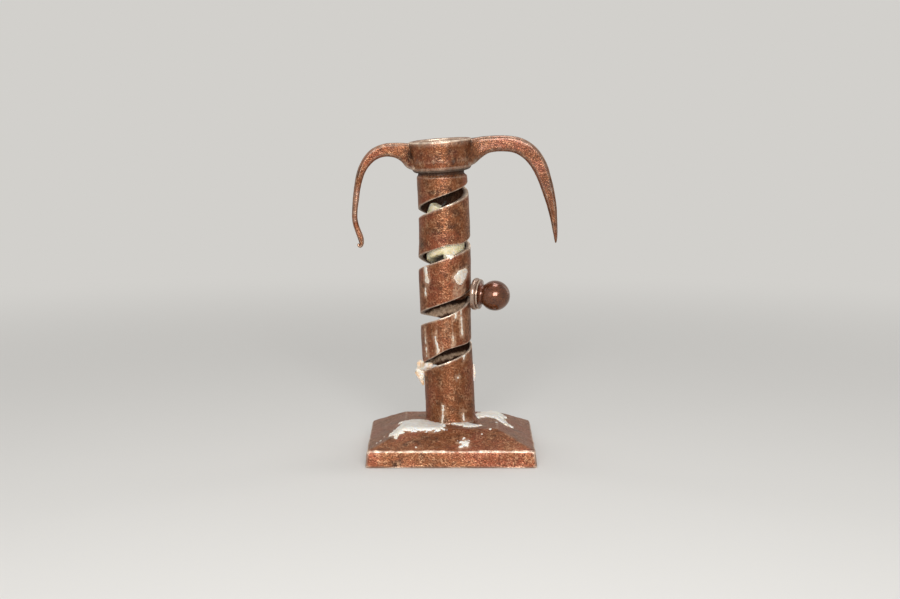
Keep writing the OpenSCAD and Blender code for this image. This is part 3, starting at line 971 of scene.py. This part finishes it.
class MakeMaterials(bpy.types.Operator):
    """Makes the finishes of the iron, the wax, the wick and the floor"""

    bl_idname = "candle_holder.materials"
    bl_label = "Finishes"

    def execute(self, context):
        colours = sizes("colours")
        MATERIALS["iron"] = forged_iron("oiled_wrought_iron")
        # The spike takes a darker copy of the iron: painted shade
        MATERIALS["spike"] = forged_iron("drawn_wrought_iron", polish=0.3, dark=0.25)
        MATERIALS["knob"] = forged_iron("rubbed_turned_iron", polish=0.9, dark=0.35)
        # A darker copy of the iron for the parts inside the tube: painted shade
        MATERIALS["dark"] = forged_iron("dull_dark_iron", dark=0.5)
        MATERIALS["wax"] = set_wax("spilled_wax", colours.wax, colours.old_wax, 0.25)
        MATERIALS["drip"] = set_wax("yellowed_wax", colours.wax, colours.old_wax, 0.85)
        MATERIALS["smear"] = set_wax("rubbed_wax", colours.dull_wax, colours.tan, 0.45)
        MATERIALS["tallow"] = set_wax("tallow_candle", colours.tallow, colours.wax, 0.5)
        MATERIALS["cotton"] = burnt_cotton("charred_cotton")
        MATERIALS["paper"] = studio_paper("studio_paper")
        return {"FINISHED"}


class ModelFoot(bpy.types.Operator):
    """Models the hipped foot with its worn edges and the countersink under it"""

    bl_idname = "candle_holder.foot"
    bl_label = "Foot"

    def execute(self, context):
        foot = sizes("foot")
        side = PLATE_HIGH.x - PLATE_LOW.x
        clear()
        bpy.ops.mesh.primitive_cube_add(size=1, location=(0, 0, 0))
        piece = named("forged_foot")
        mesh = edit(piece, "FACE")
        inset = 0.02 * MM
        for vert in mesh.verts:
            top = vert.co.z > 0
            half = side / 2 - (foot.draft if top else 0) - inset
            vert.co = (math.copysign(half, vert.co.x), math.copysign(half, vert.co.y),
                       foot.rim if top else 0)
        choose(mesh, "faces", lambda f: f.normal.z > 0.5)
        share = foot.plateau / (side - 2 * foot.draft)
        rise = PLATE_HIGH.z - foot.rim - inset
        bpy.ops.mesh.extrude_region_move(TRANSFORM_OT_translate={"value": (0, 0, rise)})
        bpy.ops.transform.resize(value=(share, share, 1), center_override=(0, 0, 0))
        mesh = edit(piece, "EDGE")
        choose(mesh, "edges", lambda e: max(v.co.z for v in e.verts) > 1 * MM)
        bpy.ops.mesh.bevel(offset=foot.edge, segments=4, profile=0.5, affect="EDGES")
        mesh = edit(piece, "EDGE")
        choose(mesh, "edges", lambda e: max(v.co.z for v in e.verts) < 0.01 * MM)
        bpy.ops.mesh.bevel(offset=0.5 * MM, segments=2, profile=0.5, affect="EDGES")
        clear()
        modify(piece, "REMESH", mode="VOXEL", voxel_size=0.62 * MM)
        modify(piece, "SMOOTH", factor=0.5, iterations=2)
        for depth_mm, grain_mm, seed in ((0.35, 17, 1), (0.16, 5, 3)):
            roughen(piece, depth_mm, grain_mm, seed, hold=lambda point: point.z < 0.8 * MM)
        # Nothing is hammered out past the plate's own box
        limit = side / 2 - inset / 2
        for vert in piece.data.vertices:
            vert.co.x = max(-limit, min(limit, vert.co.x))
            vert.co.y = max(-limit, min(limit, vert.co.y))
            vert.co.z = max(0, min(PLATE_HIGH.z + 0.1 * MM, vert.co.z))
        clear()
        bpy.ops.mesh.primitive_cone_add(vertices=64, radius1=foot.rivet + foot.rivet_depth,
                                        radius2=foot.tenon, depth=2 * foot.rivet_depth)
        cutter = named("countersink")
        modify(piece, "BOOLEAN", operation="DIFFERENCE", object=cutter, solver="EXACT")
        bpy.data.objects.remove(cutter)
        mark(piece, "wax_film", [foot_film(vert.co) for vert in piece.data.vertices])
        weather(piece, wear=foot_wear_and_highlight)
        finish(piece, "holder", "wrought_iron", MATERIALS["iron"], "base_plate")
        return {"FINISHED"}


def foot_wear_and_highlight(point):
    """How bare the foot's edges are worn and how bright a highlight is painted on them: most along the rim, least
    along the hips.
    """
    foot = sizes("foot")
    rim = PLATE_HIGH.x - foot.draft
    far_off = 1
    u, v = sorted((abs(point.x), abs(point.y)))
    to_rim = math.hypot(v - rim, point.z - foot.rim)
    to_corner = math.hypot(rim - u, rim - v) if point.z < foot.rim else far_off
    to_hip = (v - u) / math.sqrt(2) if point.z > foot.rim else far_off
    to_top = math.hypot(v - foot.plateau / 2, point.z - PLATE_HIGH.z)
    uneven = 0.85 + 0.5 * wave(point, 3)
    # How far an edge is, how far from it the wear and painted highlight reach in millimetres, and how bare and
    # bright it is
    edges = [(to_rim, 0.85, 1.0), (to_corner, 1.2, 0.5), (to_hip, 1.0, 0.14), (to_top, 1.0, 0.25)]
    return max(share * uneven * max(0, 1 - far / (reach * uneven * MM)) ** 0.5
               for far, reach, share in edges)


def foot_film(point):
    """How much rubbed wax dulls the foot's top at a point: most beside the spills, and up to a
    few millimetres out from them."""
    if point.z < sizes("foot").rim - MM:
        return 0.0
    u, v = point.x / MM, point.y / MM
    near = max(edge_distance(u, v, outline) for outline in FOOT_SPILLS_MM.values())
    uneven = noise.noise(Vector((u / 5, v / 5, 4)))
    return 0.45 * ease((near + 2.4 + 1.6 * uneven) / 3)


class ModelColumn(bpy.types.Operator):
    """Rolls the tube as one helical sheet, saws the slot and thickens the wall"""

    bl_idname = "candle_holder.column"
    bl_label = "Column"

    def execute(self, context):
        piece = column_mesh()
        mark(piece, "wax_film", [tube_film_and_light(vert.co) for vert in piece.data.vertices])
        weather(piece, wear=tube_wear_and_highlight, grime=tube_shade)
        place(piece, on_tube())
        finish(piece, "holder", "wrought_iron", MATERIALS["iron"], "column")
        return {"FINISHED"}


# How far from the slot's edges the tube is worn and painted with a highlight
LOWER_WEAR_MM = 1.0
UPPER_WEAR_MM = 0.7


def tube_wear_and_highlight(point):
    """How bare the sawn edges are worn, with a painted highlight on them: on the outside alone, and less on the
    upper edge.
    """
    tube = sizes("tube")
    angle, above = slot_place(point)
    if not math.degrees(tube.slot_start) < angle < math.degrees(tube.slot_end):
        return 0.0
    low, high = between(SLOT_EDGES_MM, angle)
    outside = ease((math.hypot(point.x, point.y) / MM - 13.3) / 0.8)
    uneven = 0.8 + 0.9 * wave(point, 4)
    lower = max(0, 1 - abs(above / MM - low) / LOWER_WEAR_MM)
    upper = max(0, 1 - abs(above / MM - high) / UPPER_WEAR_MM)
    return outside * uneven * max(lower, 0.5 * upper)


def tube_shade(point):
    """Painted shade on the tube: black inside but for the pale wax strips, and dark in the gap under the collar.
    """
    tube = sizes("tube")
    if math.hypot(point.x, point.y) < tube.bore + 0.5 * MM:
        return 0.9 * (1 - inner_wax_and_light(point))
    return 0.95 * ease((point.z - tube.shoulder + 0.4 * MM) / (0.5 * MM))


# Pale wax strips on the inner wall, painted where light falls in through the slot: height at the
#  middle and half width, in millimetres, and how steeply they rise to the right
INNER_WAX_AND_LIGHT_MM = [(66.2, 2.4), (37.2, 1.2)]
INNER_WAX_AND_LIGHT_RISE = 0.22


def inner_wax_and_light(point):
    """How much pale wax, painted where light falls in through the slot, lies on the inner wall at a point."""
    level = (point.z - INNER_WAX_AND_LIGHT_RISE * point.x) / MM + wave(point, 3)
    return max(ease((half - abs(level - middle)) / 0.8 + 0.5) for middle, half in INNER_WAX_AND_LIGHT_MM)


# Outlines of thin wax rubbed down the tube: arc to the right of the front, and height
TUBE_FILMS_MM = [
    [(3.6, 89), (5.2, 91.5), (8, 86), (14, 86.5), (14.6, 81), (12.6, 77.5), (9.4, 75.2),
     (6.4, 76.8), (4.6, 81)],
    [(-17.5, 58), (-14.5, 57), (-13.6, 48), (-13.4, 40), (-16.8, 40.4)],
    [(-8.8, 57), (-6.4, 57), (-4.6, 47), (-4.4, 43.2), (-8.4, 42.6)],
    [(8, 72), (11.6, 72), (12.2, 53), (8.6, 52.6)],
]


# The heights between which wax streaks the whole tube
STREAKED_BAND_MM = (40, 72)


def tube_film_and_light(point):
    """How much rubbed wax dulls the tube at a point, in the tube's own frame: the pale wax strips
    inside, painted where light falls in through the slot, and outside what lies round the smears,
    in the rubbed patches and in streaks."""
    tube = sizes("tube")
    if math.hypot(point.x, point.y) < tube.bore + 0.4 * MM:
        return 0.95 * inner_wax_and_light(point)
    height = point.z / MM
    arc = math.radians(from_front(point)) * tube.blank / MM
    near = max(edge_distance(arc, height, outline) for outline in TUBE_SMEARS_MM.values())
    streak = noise.noise(Vector((arc / 1.3, height / 9, 2)))
    around = 0.42 * ease((near + 2.2 + 1.5 * streak) / 2.5)
    rubbed = max(edge_distance(arc, height, outline) for outline in TUBE_FILMS_MM)
    rubbed = 0.36 * ease((rubbed + 0.8 + 2.2 * streak) / 1.6)
    low, high = STREAKED_BAND_MM
    streaks = ease((high - height) / 4) * ease((height - low) / 3) * max(0.0, streak) * 0.3
    return min(0.75, max(around, rubbed) + streaks)


class ModelCollar(bpy.types.Operator):
    """Turns the collar, then tips its bore to the tube's own axis"""

    bl_idname = "candle_holder.collar"
    bl_label = "Collar"

    def execute(self, context):
        c = sizes("collar")
        r, foot, h, mouth = (v / MM for v in (c.radius, c.foot_radius, c.height, c.mouth))
        socket, deep = c.socket / MM, c.socket_depth / MM
        piece = lathe("forged_collar", [
            (mouth, -deep), (mouth, -6), (mouth, -1.4), (mouth + 0.5, -0.55), (mouth + 1.3, -0.15),
            (mouth + 2.6, 0), (r - 1.4, 0), (r - 0.5, -0.15), (r - 0.1, -0.7), (r, -1.6),
            (r - 0.1, -5), (r - 0.25, -9), (r - 0.5, -12.5), (foot + 0.1, -h + 3.8),
            (foot - 0.1, -h + 2.5), (foot - 0.6, -h + 1.3), (foot - 1.4, -h + 0.4),
            (foot - 2.3, -h), (socket + 0.9, -h), (socket + 0.2, -h + 0.7), (socket, -deep - 1),
            (socket, -deep)], steps=128)
        subdivide(piece, 2)
        for vert in piece.data.vertices:
            if math.hypot(vert.co.x, vert.co.y) < c.socket + 0.6 * MM:
                vert.co.x += vert.co.z * math.tan(c.tilt)
        roughen(piece, 0.16, 8, 5)
        roughen(piece, 0.05, 2.5, 6)
        weather(piece, SOFT_EDGE, collar_wear_and_highlight, collar_shade)
        place(piece, on_collar())
        finish(piece, "holder", "wrought_iron", MATERIALS["iron"], "collar")
        return {"FINISHED"}


def collar_wear_and_highlight(point):
    """How bare the collar's top edges are worn and painted with a highlight, at the outside and round the mouth.
    """
    collar = sizes("collar")
    rho = math.hypot(point.x, point.y)
    below_top = point.z + 0.3 * MM
    near = min(math.hypot(rho - collar.radius + 0.5 * MM, below_top),
               math.hypot(rho - collar.mouth - 0.8 * MM, below_top))
    return (0.7 + 0.9 * wave(point, 4)) * max(0, 1 - near / (1.1 * MM)) ** 0.5


def collar_shade(point):
    """Painted shade on the collar: dark inside the mouth, and dark round its lower edge."""
    collar = sizes("collar")
    if math.hypot(point.x, point.y) < collar.socket + 0.5 * MM:
        return 0.8 * ease((-point.z - 1.5 * MM) / (2 * MM))
    return 0.9 * ease((-point.z - collar.height + 2.3 * MM) / (1.3 * MM))


# Stations of the arms in the collar's frame, in millimetres: out from the middle, up from the
# collar's top, depth in the arm's plane, thickness across it, then twist in degrees
ROOT_MM = [(13.9, -8.8, 15.0, 19.6, 0), (15.5, -8.8, 16.4, 18.4, 0), (17.2, -8.5, 16.0, 14.6, 0)]
SPIKE_MM = ROOT_MM + [
    (18.7, -7.85, 15.0, 12.0, 0), (20.3, -7.2, 13.9, 10.3, 0), (22.2, -6.55, 12.8, 9.0, 0),
    (24.4, -5.85, 11.7, 8.1, 0), (27, -5.15, 10.7, 7.8, 0), (30.5, -4.7, 9.9, 7.8, 0),
    (36, -4.7, 9.5, 7.8, 0), (43, -5.5, 9.8, 7.7, 0), (48.6, -7.4, 10.2, 7.6, 0),
    (53.4, -11.2, 10.3, 7.4, 0), (57.3, -16.2, 9.9, 7.1, 0), (60, -22, 9.1, 6.8, 0),
    (62, -29.4, 8.1, 6.4, 0), (63.6, -37, 7.0, 5.8, 0), (64.9, -45, 5.8, 5.0, 0),
    (65.6, -53, 4.5, 4.0, 0), (65.9, -60, 3.2, 2.9, 0), (65.9, -65, 1.9, 1.8, 0),
    (65.7, -68, 0.6, 0.7, 0)]
HOOK_MM = ROOT_MM + [
    (18.7, -7.6, 14.4, 12.0, 0), (20.3, -6.7, 12.7, 10.2, 0), (22.2, -5.85, 11.3, 8.9, 0),
    (24.3, -5.0, 10.1, 8.0, 0), (26.8, -4.3, 9.0, 7.7, 0), (29.6, -3.85, 8.3, 7.5, 0),
    (33.2, -3.6, 7.9, 7.3, 0), (38.3, -4.5, 7.5, 7.0, 0), (42.9, -7.2, 6.4, 6.6, 2),
    (46.9, -11.6, 5.4, 6.0, 6), (50, -17.2, 4.5, 5.4, 12), (52.1, -25, 3.6, 4.9, 18),
    (53.6, -32.5, 3.0, 4.6, 22), (54.9, -40, 2.7, 4.4, 20), (55.3, -45, 3.1, 4.2, 12),
    (54.2, -50.3, 3.7, 3.6, 4), (52.6, -55, 3.8, 3.2, 0), (52.1, -57.9, 3.1, 2.9, 0),
    (52.3, -60.1, 2.4, 2.7, 0), (53.1, -61.2, 2.0, 2.5, 0), (54.0, -60.9, 1.7, 2.2, 0),
    (54.3, -59.9, 1.4, 1.9, 0), (54.1, -59.1, 0.8, 1.4, 0)]


def arm(name, stations, side, chamfer):
    """A forged bar along its stations, to the right for side 1 and to the left for side -1."""
    rings = []
    for i, (x, z, width, thick, twist) in enumerate(stations):
        ahead = stations[min(i + 1, len(stations) - 1)]
        behind = stations[max(i - 1, 0)]
        run = Vector((ahead[0] - behind[0], 0, ahead[1] - behind[1])).normalized()
        out = Vector((-run.z, 0, run.x))
        spin = Matrix.Rotation(math.radians(twist), 3, run)
        ring = []
        for u, v in section(width, thick, chamfer):
            point = Vector((x, 0, z)) + spin @ (out * u + Vector((0, v, 0)))
            ring.append(Vector((point.x * side, point.y, point.z)) * MM)
        rings.append(ring)
    piece = loft(name, rings)
    modify(piece, "SUBSURF", levels=3, render_levels=3)
    roughen(piece, 0.22, 9, 11 + side)
    roughen(piece, 0.07, 2.6, 14 + side)
    weather(piece, SOFT_EDGE)
    place(piece, on_collar())
    return piece


class ModelArms(bpy.types.Operator):
    """Draws out the spike arm and the hook arm from the collar"""

    bl_idname = "candle_holder.arms"
    bl_label = "Arms"

    def execute(self, context):
        for name, stations, side, chamfer, material, node in (
                ("forged_spike", SPIKE_MM, 1, 1.3, "spike", "spike_arm"),
                ("forged_hook", HOOK_MM, -1, 1.2, "iron", "hook_arm")):
            piece = arm(name, stations, side, chamfer)
            finish(piece, "holder", "wrought_iron", MATERIALS[material], node)
        return {"FINISHED"}


class ModelKnob(bpy.types.Operator):
    """Turns the rim disc and the knob with its ogee, neck and ball"""

    bl_idname = "candle_holder.knob"
    bl_label = "Knob"

    def execute(self, context):
        k = sizes("knob")
        near, rim, thick, stud = (v / MM for v in (k.rim_place, k.rim_radius, k.rim_thick, k.stud))
        far = near + thick
        washer = lathe("turned_rim", [
            (stud, near), (rim * 0.5, near), (rim - 1.6, near + 0.55), (rim - 0.7, near + 0.9),
            (rim - 0.15, near + 1.5), (rim, near + 2.2), (rim - 0.1, near + 2.9),
            (rim - 0.5, near + 3.5), (rim - 1.1, near + 3.85), (rim - 2, far), (stud, far)])
        ball, neck = k.ball / MM, k.neck / MM
        shoulder = rim - 0.7
        start = math.asin(neck / ball)
        middle = far + 3.4 + math.sqrt(ball ** 2 - neck ** 2)
        profile = [(stud, far), (shoulder - 1.2, far + 0.02), (shoulder - 0.35, far + 0.2),
                   (shoulder, far + 0.75), (shoulder - 0.25, far + 1.25)]
        for i in range(1, 8):
            a = math.radians(90 * i / 8)
            profile.append((shoulder - 0.5 - (shoulder - 0.5 - neck) * math.sin(a),
                            far + 1.3 + 2.1 * (1 - math.cos(a))))
        for i in range(0, 24):
            a = start + (math.pi - start) * i / 24
            profile.append((ball * math.sin(a), middle - ball * math.cos(a)))
        profile += [(0, middle + ball), (0, far + k.grip / MM), (stud, far + k.grip / MM)]
        knob = lathe("turned_knob", profile)
        for piece, node, seed in ((washer, "slot_washer", 21), (knob, "knob", 22)):
            modify(piece, "BEVEL", width=0.12 * MM, segments=1, limit_method="ANGLE",
                   angle_limit=math.radians(60))
            roughen(piece, 0.07, 6, seed)
            weather(piece)
            place(piece, on_stud())
            finish(piece, "pusher", "knob_iron", MATERIALS["knob"], node)
        return {"FINISHED"}


class FinishInnerIron(bpy.types.Operator):
    """Gives the disc, the stud and the foot's plug a darker copy of the iron: painted shade, since they are seen
    only inside the tube
    """

    bl_idname = "candle_holder.inner_iron"
    bl_label = "Inner iron"

    def execute(self, context):
        for name in ("pusher_disc", "pusher_stud", "foot_plug"):
            node = frame["nodes"][name]
            node.data.materials.clear()
            node.data.materials.append(MATERIALS["dark"])
        return {"FINISHED"}


class ModelCandle(bpy.types.Operator):
    """Models the old candle stub with its melted top, and the burnt wick"""

    bl_idname = "candle_holder.candle"
    bl_label = "Candle"

    def execute(self, context):
        c = sizes("candle")
        r, top, hollow = c.radius / MM, c.stub / MM, c.hollow / MM
        piece = lathe("melted_stub", [
            (0, 0), (r * 0.5, 0), (r - 0.8, 0), (r - 0.1, 0.7),
            *((r, 2 + (top - 4.5) * i / 30) for i in range(31)), (r - 0.35, top - 0.9),
            (r - 1.1, top - 0.2), (r - 2.1, top), (r - 3.0, top - 0.6), (r - 4.2, top - 2.2),
            (r - 6.5, top - hollow + 0.5), (2.2, top - hollow), (1.1, top - hollow + 0.2),
            (0.95, top - hollow - 1), (0, top - hollow - 1)])
        subdivide(piece, 1)
        # The bite is painted dark: painted shade in the hollow
        mark(piece, "grime", [bitten(vert.co) for vert in piece.data.vertices])
        for vert in piece.data.vertices:
            vert.co = melted(vert.co, top)
        modify(piece, "SMOOTH", factor=0.5, iterations=2)
        place(piece, on_tube(KNOB_HEIGHT + c.seat))
        finish(piece, "candle", "tallow_candle", MATERIALS["tallow"], "candle_stub", crease=60)
        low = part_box("wick")[0]
        clear()
        bpy.ops.mesh.primitive_cylinder_add(vertices=20, radius=c.wick_radius, depth=c.wick,
                                            location=(0, 0, 0))
        wick = named("charred_wick")
        mesh = edit(wick, "EDGE")
        choose(mesh, "edges", lambda e: abs(e.verts[0].co.z - e.verts[1].co.z) > c.wick / 2)
        bpy.ops.mesh.subdivide(number_cuts=40)
        clear()
        # Three strands are braided, and the burnt top curls over
        for vert in wick.data.vertices:
            up = vert.co.z / MM + c.wick / 2 / MM
            braid = 1 + 0.1 * math.sin(up * 5 + 3 * math.atan2(vert.co.y, vert.co.x))
            curl = ease((up - 9) / 6)
            vert.co.x = vert.co.x * braid + curl * 1.8 * MM
            vert.co.y = vert.co.y * braid + curl * 2.2 * MM
            vert.co.z -= curl * 2.6 * MM
        roughen(wick, 0.12, 0.8, 31)
        place(wick, on_tube((low.z - PLATE_HIGH.z) / TUBE_AXIS.z + c.wick / 2))
        finish(wick, "candle", "burnt_cotton", MATERIALS["cotton"], "wick")
        return {"FINISHED"}


# The candle's melted top: how far down it reaches, its slopes to the back and to the right, and a
# further slope right of a line left of its middle
MELTED_MM = 9
BACK_SLOPE = 0.05
RIGHT_SLOPE = -0.14
STEEP_SLOPE = -0.3
STEEP_FROM_MM = -5

# Where the candle was melted away along the slot's lower edge, and painted dark there as shade: its middle
# # at a turn from the front, how that rises to the right, half its height, how deep it is, and the core it leaves
BITE_MIDDLE_MM = 15.9
BITE_TURN_DEG = -30
BITE_RISE_MM = 0.06
BITE_HALF_MM = 2.565
BITE_EDGE_MM = 1.35
BITE_DEPTH_MM = 6
BITE_CORE_MM = 6


def melted(point, top_mm):
    """Pushes a point of the clean stub to where the heat and the tube have left it."""
    rho = math.hypot(point.x, point.y)
    left = max(0.0, -math.sin(math.radians(from_front(point))))
    rim = ease((point.z / MM - top_mm + MELTED_MM) / MELTED_MM)
    lift = BACK_SLOPE * point.y + RIGHT_SLOPE * point.x
    lift += STEEP_SLOPE * max(0.0, point.x - STEEP_FROM_MM * MM)
    lift += 0.5 * MM * wave(point, 5)
    swell = 0.12 * wave(point, 6) - 0.1 - 0.9 * left
    swell -= rim * (0.6 + 2.2 * left) + BITE_DEPTH_MM * bitten(point)
    grow = 1 + swell * MM / max(rho, 4 * MM)
    return Vector((point.x * grow + 0.4 * MM, point.y * grow, point.z + rim * lift))


def bitten(point):
    """How far the candle was melted away at a point of the clean stub, from 0 to 1, which is also how
    dark the bite is painted as shade.
    """
    height, angle = point.z / MM, from_front(point)
    if math.hypot(point.x, point.y) < BITE_CORE_MM * MM or height < 2:
        return 0.0
    middle = BITE_MIDDLE_MM + BITE_RISE_MM * (angle - BITE_TURN_DEG)
    away = abs(height - middle + 0.9 * wave(point, 2.2))
    around = ease((1 - angle) / 15) * ease((angle + 170) / 20)
    return around * ease((BITE_HALF_MM - away) / BITE_EDGE_MM)


class ModelFootWax(bpy.types.Operator):
    """Spreads the spills, the splash and the small spots on the foot"""

    bl_idname = "candle_holder.foot_wax"
    bl_label = "Wax on the foot"

    def execute(self, context):
        ground = Surface(bpy.data.objects["forged_foot"])
        wax = sizes("wax")
        for seed, (name, outline) in enumerate(FOOT_SPILLS_MM.items()):
            def in_spill(u, v, outline=outline, seed=seed):
                return ragged(u, v, outline, seed)
            piece = wax_sheet("set_" + name, in_spill, corners_of(outline, 2), ground.below,
                              wax.spill)
            finish(piece, "holder", "spilled_wax", MATERIALS["wax"], name, crease=70)
        spots = []
        for seed, (x, y, radius) in enumerate(FOOT_SPLASHES_MM):
            def in_spot(u, v, x=x, y=y, radius=radius, seed=seed):
                uneven = noise.noise(Vector((u / 0.9, v / 0.9, seed)))
                return radius - math.hypot(u - x, v - y) + 0.35 * uneven
            spots.append(wax_sheet(f"spot_{seed}", in_spot, corners_of([(x, y)], radius + 0.8),
                                   ground.below, wax.splash, 0.4))
        piece = join("wax_splashes", spots)
        finish(piece, "holder", "spilled_wax", MATERIALS["wax"], crease=70)
        return {"FINISHED"}


# Wax that ran down the tube, in the tube's frame: its finish, the grain and the smoothing of its
# mesh, the frame's piece that it replaces, and its runs as stations of (x, y, z, radius)
WAX_RUNS_MM = {
    "set_wax_lump": ("drip", 0.3, 6, ["wax_lump"], [
        [(-17.4, -1, 37.2, 1.0), (-18.5, -1, 35.6, 1.4), (-17.6, -0.8, 33.6, 2.1),
         (-18.6, -0.6, 31.4, 2.0), (-19.2, -0.4, 30, 1.8), (-18, -0.3, 27.6, 1.8),
         (-17, -0.2, 25, 1.3), (-16.3, 0, 22.6, 0.8)],
        [(-17.6, -0.8, 33.6, 2.1), (-15.9, -2.6, 33.9, 2.3), (-14.4, -5.4, 34.6, 2.2),
         (-12.8, -7.9, 35.4, 2.0), (-11.4, -9.6, 35.9, 1.7), (-10.6, -10.5, 36.3, 1.2)],
        [(-15.6, -2, 36.2, 1.8), (-17, -1, 31, 2.2), (-16.2, -0.5, 28, 1.5)]]),
    "set_wax_run": ("wax", 0.2, 4, ["wax_run"], [
        [(15.0, -1.2, 33.2, 0.7), (15.2, -1.3, 30.6, 0.95), (15.4, -1.2, 28.2, 1.05),
         (15.1, -1.1, 26.2, 0.85), (15.0, -1.2, 24.4, 0.7)]]),
    "wax_crumb": ("wax", 0.2, 3, [], [
        [(1.6, -14.6, 103.0, 0.7), (3.0, -14.4, 102.4, 1.2), (4.6, -14.1, 101.9, 1.3),
         (6.2, -13.6, 101.0, 0.8)],
        [(2.2, -14.9, 101.6, 0.7), (3.8, -14.7, 101.0, 1.0)]]),
}


class ModelTubeWax(bpy.types.Operator):
    """Smears wax on the bands and lets it drip from the slot's ends"""

    bl_idname = "candle_holder.tube_wax"
    bl_label = "Wax on the tube"

    def execute(self, context):
        wall = Surface(bpy.data.objects["forged_column"])
        smears = []
        for seed, (name, outline) in enumerate(TUBE_SMEARS_MM.items()):
            def in_smear(u, v, outline=outline, seed=seed):
                return ragged(u, v, outline, seed + 20, 0.75)
            smears.append(wax_sheet(name, in_smear, corners_of(outline, 1), wall.beside,
                                    sizes("wax").smear, 0.4))
        piece = join("wax_smears", smears)
        finish(piece, "holder", "spilled_wax", MATERIALS["smear"], crease=70)
        for name, (finish_name, grain_mm, smooth, nodes, runs_mm) in WAX_RUNS_MM.items():
            piece = blob(name, runs_mm, grain_mm, smooth)
            finish(piece, "holder", "spilled_wax", MATERIALS[finish_name], *nodes, crease=70)
        return {"FINISHED"}


# The lamps: place, width and height in metres, and the studio value that is its power
LAMPS = {
    "key_light": ((0.04, -1.4, 0.56), 0.8, 0.6, "key"),
    "fill_light": ((-0.9, -1.1, 0.5), 0.8, 0.8, "fill"),
    "left_rim": ((-1.1, 0.75, 0.7), 0.4, 1.0, "rim"),
    "right_rim": ((1.1, 0.7, 0.65), 0.4, 1.0, "rim"),
    "top_light": ((0.05, 0.15, 1.5), 0.7, 0.7, "top"),
}


class BuildStudio(bpy.types.Operator):
    """Lays the pale floor, hangs the soft lights and sets the camera"""

    bl_idname = "candle_holder.studio"
    bl_label = "Studio"

    def execute(self, context):
        studio = sizes("studio")
        clear()
        bpy.ops.mesh.primitive_plane_add(size=24, location=(0, 0, 0))
        floor = named("studio_floor")
        floor.data.materials.append(MATERIALS["paper"])
        aim = Vector(studio.target)
        for name, (spot, wide, high, strength) in LAMPS.items():
            bpy.ops.object.light_add(type="AREA", location=spot)
            light = bpy.context.active_object
            light.name = name
            light.data.shape = "RECTANGLE"
            light.data.size, light.data.size_y = wide, high
            light.data.energy = getattr(studio, strength)
            light.rotation_euler = (aim - Vector(spot)).to_track_quat("-Z", "Y").to_euler()
        bpy.ops.object.camera_add(location=studio.camera)
        camera = bpy.context.active_object
        sight = aim - Vector(studio.camera)
        camera.rotation_euler = sight.to_track_quat("-Z", "Y").to_euler()
        camera.data.lens = studio.lens
        camera.data.sensor_width = 36
        scene = context.scene
        scene.camera = camera
        scene.view_settings.view_transform = "Standard"
        world = bpy.data.worlds.new("studio_air")
        scene.world = world
        world.use_nodes = True
        tree = world.node_tree
        strength = add(tree, "ShaderNodeMath", [seen(tree), 1 - studio.ambient, studio.ambient],
                       operation="MULTIPLY_ADD")
        feed(tree.nodes["Background"], {"Color": sizes("colours").backdrop, "Strength": strength})
        return {"FINISHED"}


class HolderPanel(bpy.types.Panel):
    """Lists the pieces in the order they are made."""

    bl_idname = "VIEW3D_PT_candle_holder"
    bl_label = "Candle Holder"
    bl_space_type = "VIEW_3D"
    bl_region_type = "UI"
    bl_category = "Candle Holder"

    def draw(self, context):
        for operator in OPERATORS:
            self.layout.operator(operator.bl_idname)
        for name in GROUPS:
            box = self.layout.box()
            group = sizes(name)
            for key in group.__annotations__:
                box.prop(group, key)


OPERATORS = (MakeMaterials, ModelFoot, ModelColumn, ModelCollar, ModelArms, ModelKnob,
             FinishInnerIron, ModelCandle, ModelFootWax, ModelTubeWax, BuildStudio)


def register():
    for name, group in GROUPS.items():
        bpy.utils.register_class(group)
        setattr(bpy.types.Scene, "holder_" + name, PointerProperty(type=group))
    for kind in OPERATORS + (HolderPanel,):
        bpy.utils.register_class(kind)


def unregister():
    for kind in reversed(OPERATORS + (HolderPanel,)):
        bpy.utils.unregister_class(kind)
    for name, group in GROUPS.items():
        delattr(bpy.types.Scene, "holder_" + name)
        bpy.utils.unregister_class(group)


def main():
    register()
    bpy.ops.candle_holder.materials()
    bpy.ops.candle_holder.foot()
    bpy.ops.candle_holder.column()
    bpy.ops.candle_holder.collar()
    bpy.ops.candle_holder.arms()
    bpy.ops.candle_holder.knob()
    bpy.ops.candle_holder.inner_iron()
    bpy.ops.candle_holder.candle()
    bpy.ops.candle_holder.foot_wax()
    bpy.ops.candle_holder.tube_wax()
    bpy.ops.candle_holder.studio()


if __name__ == "__main__":
    main()
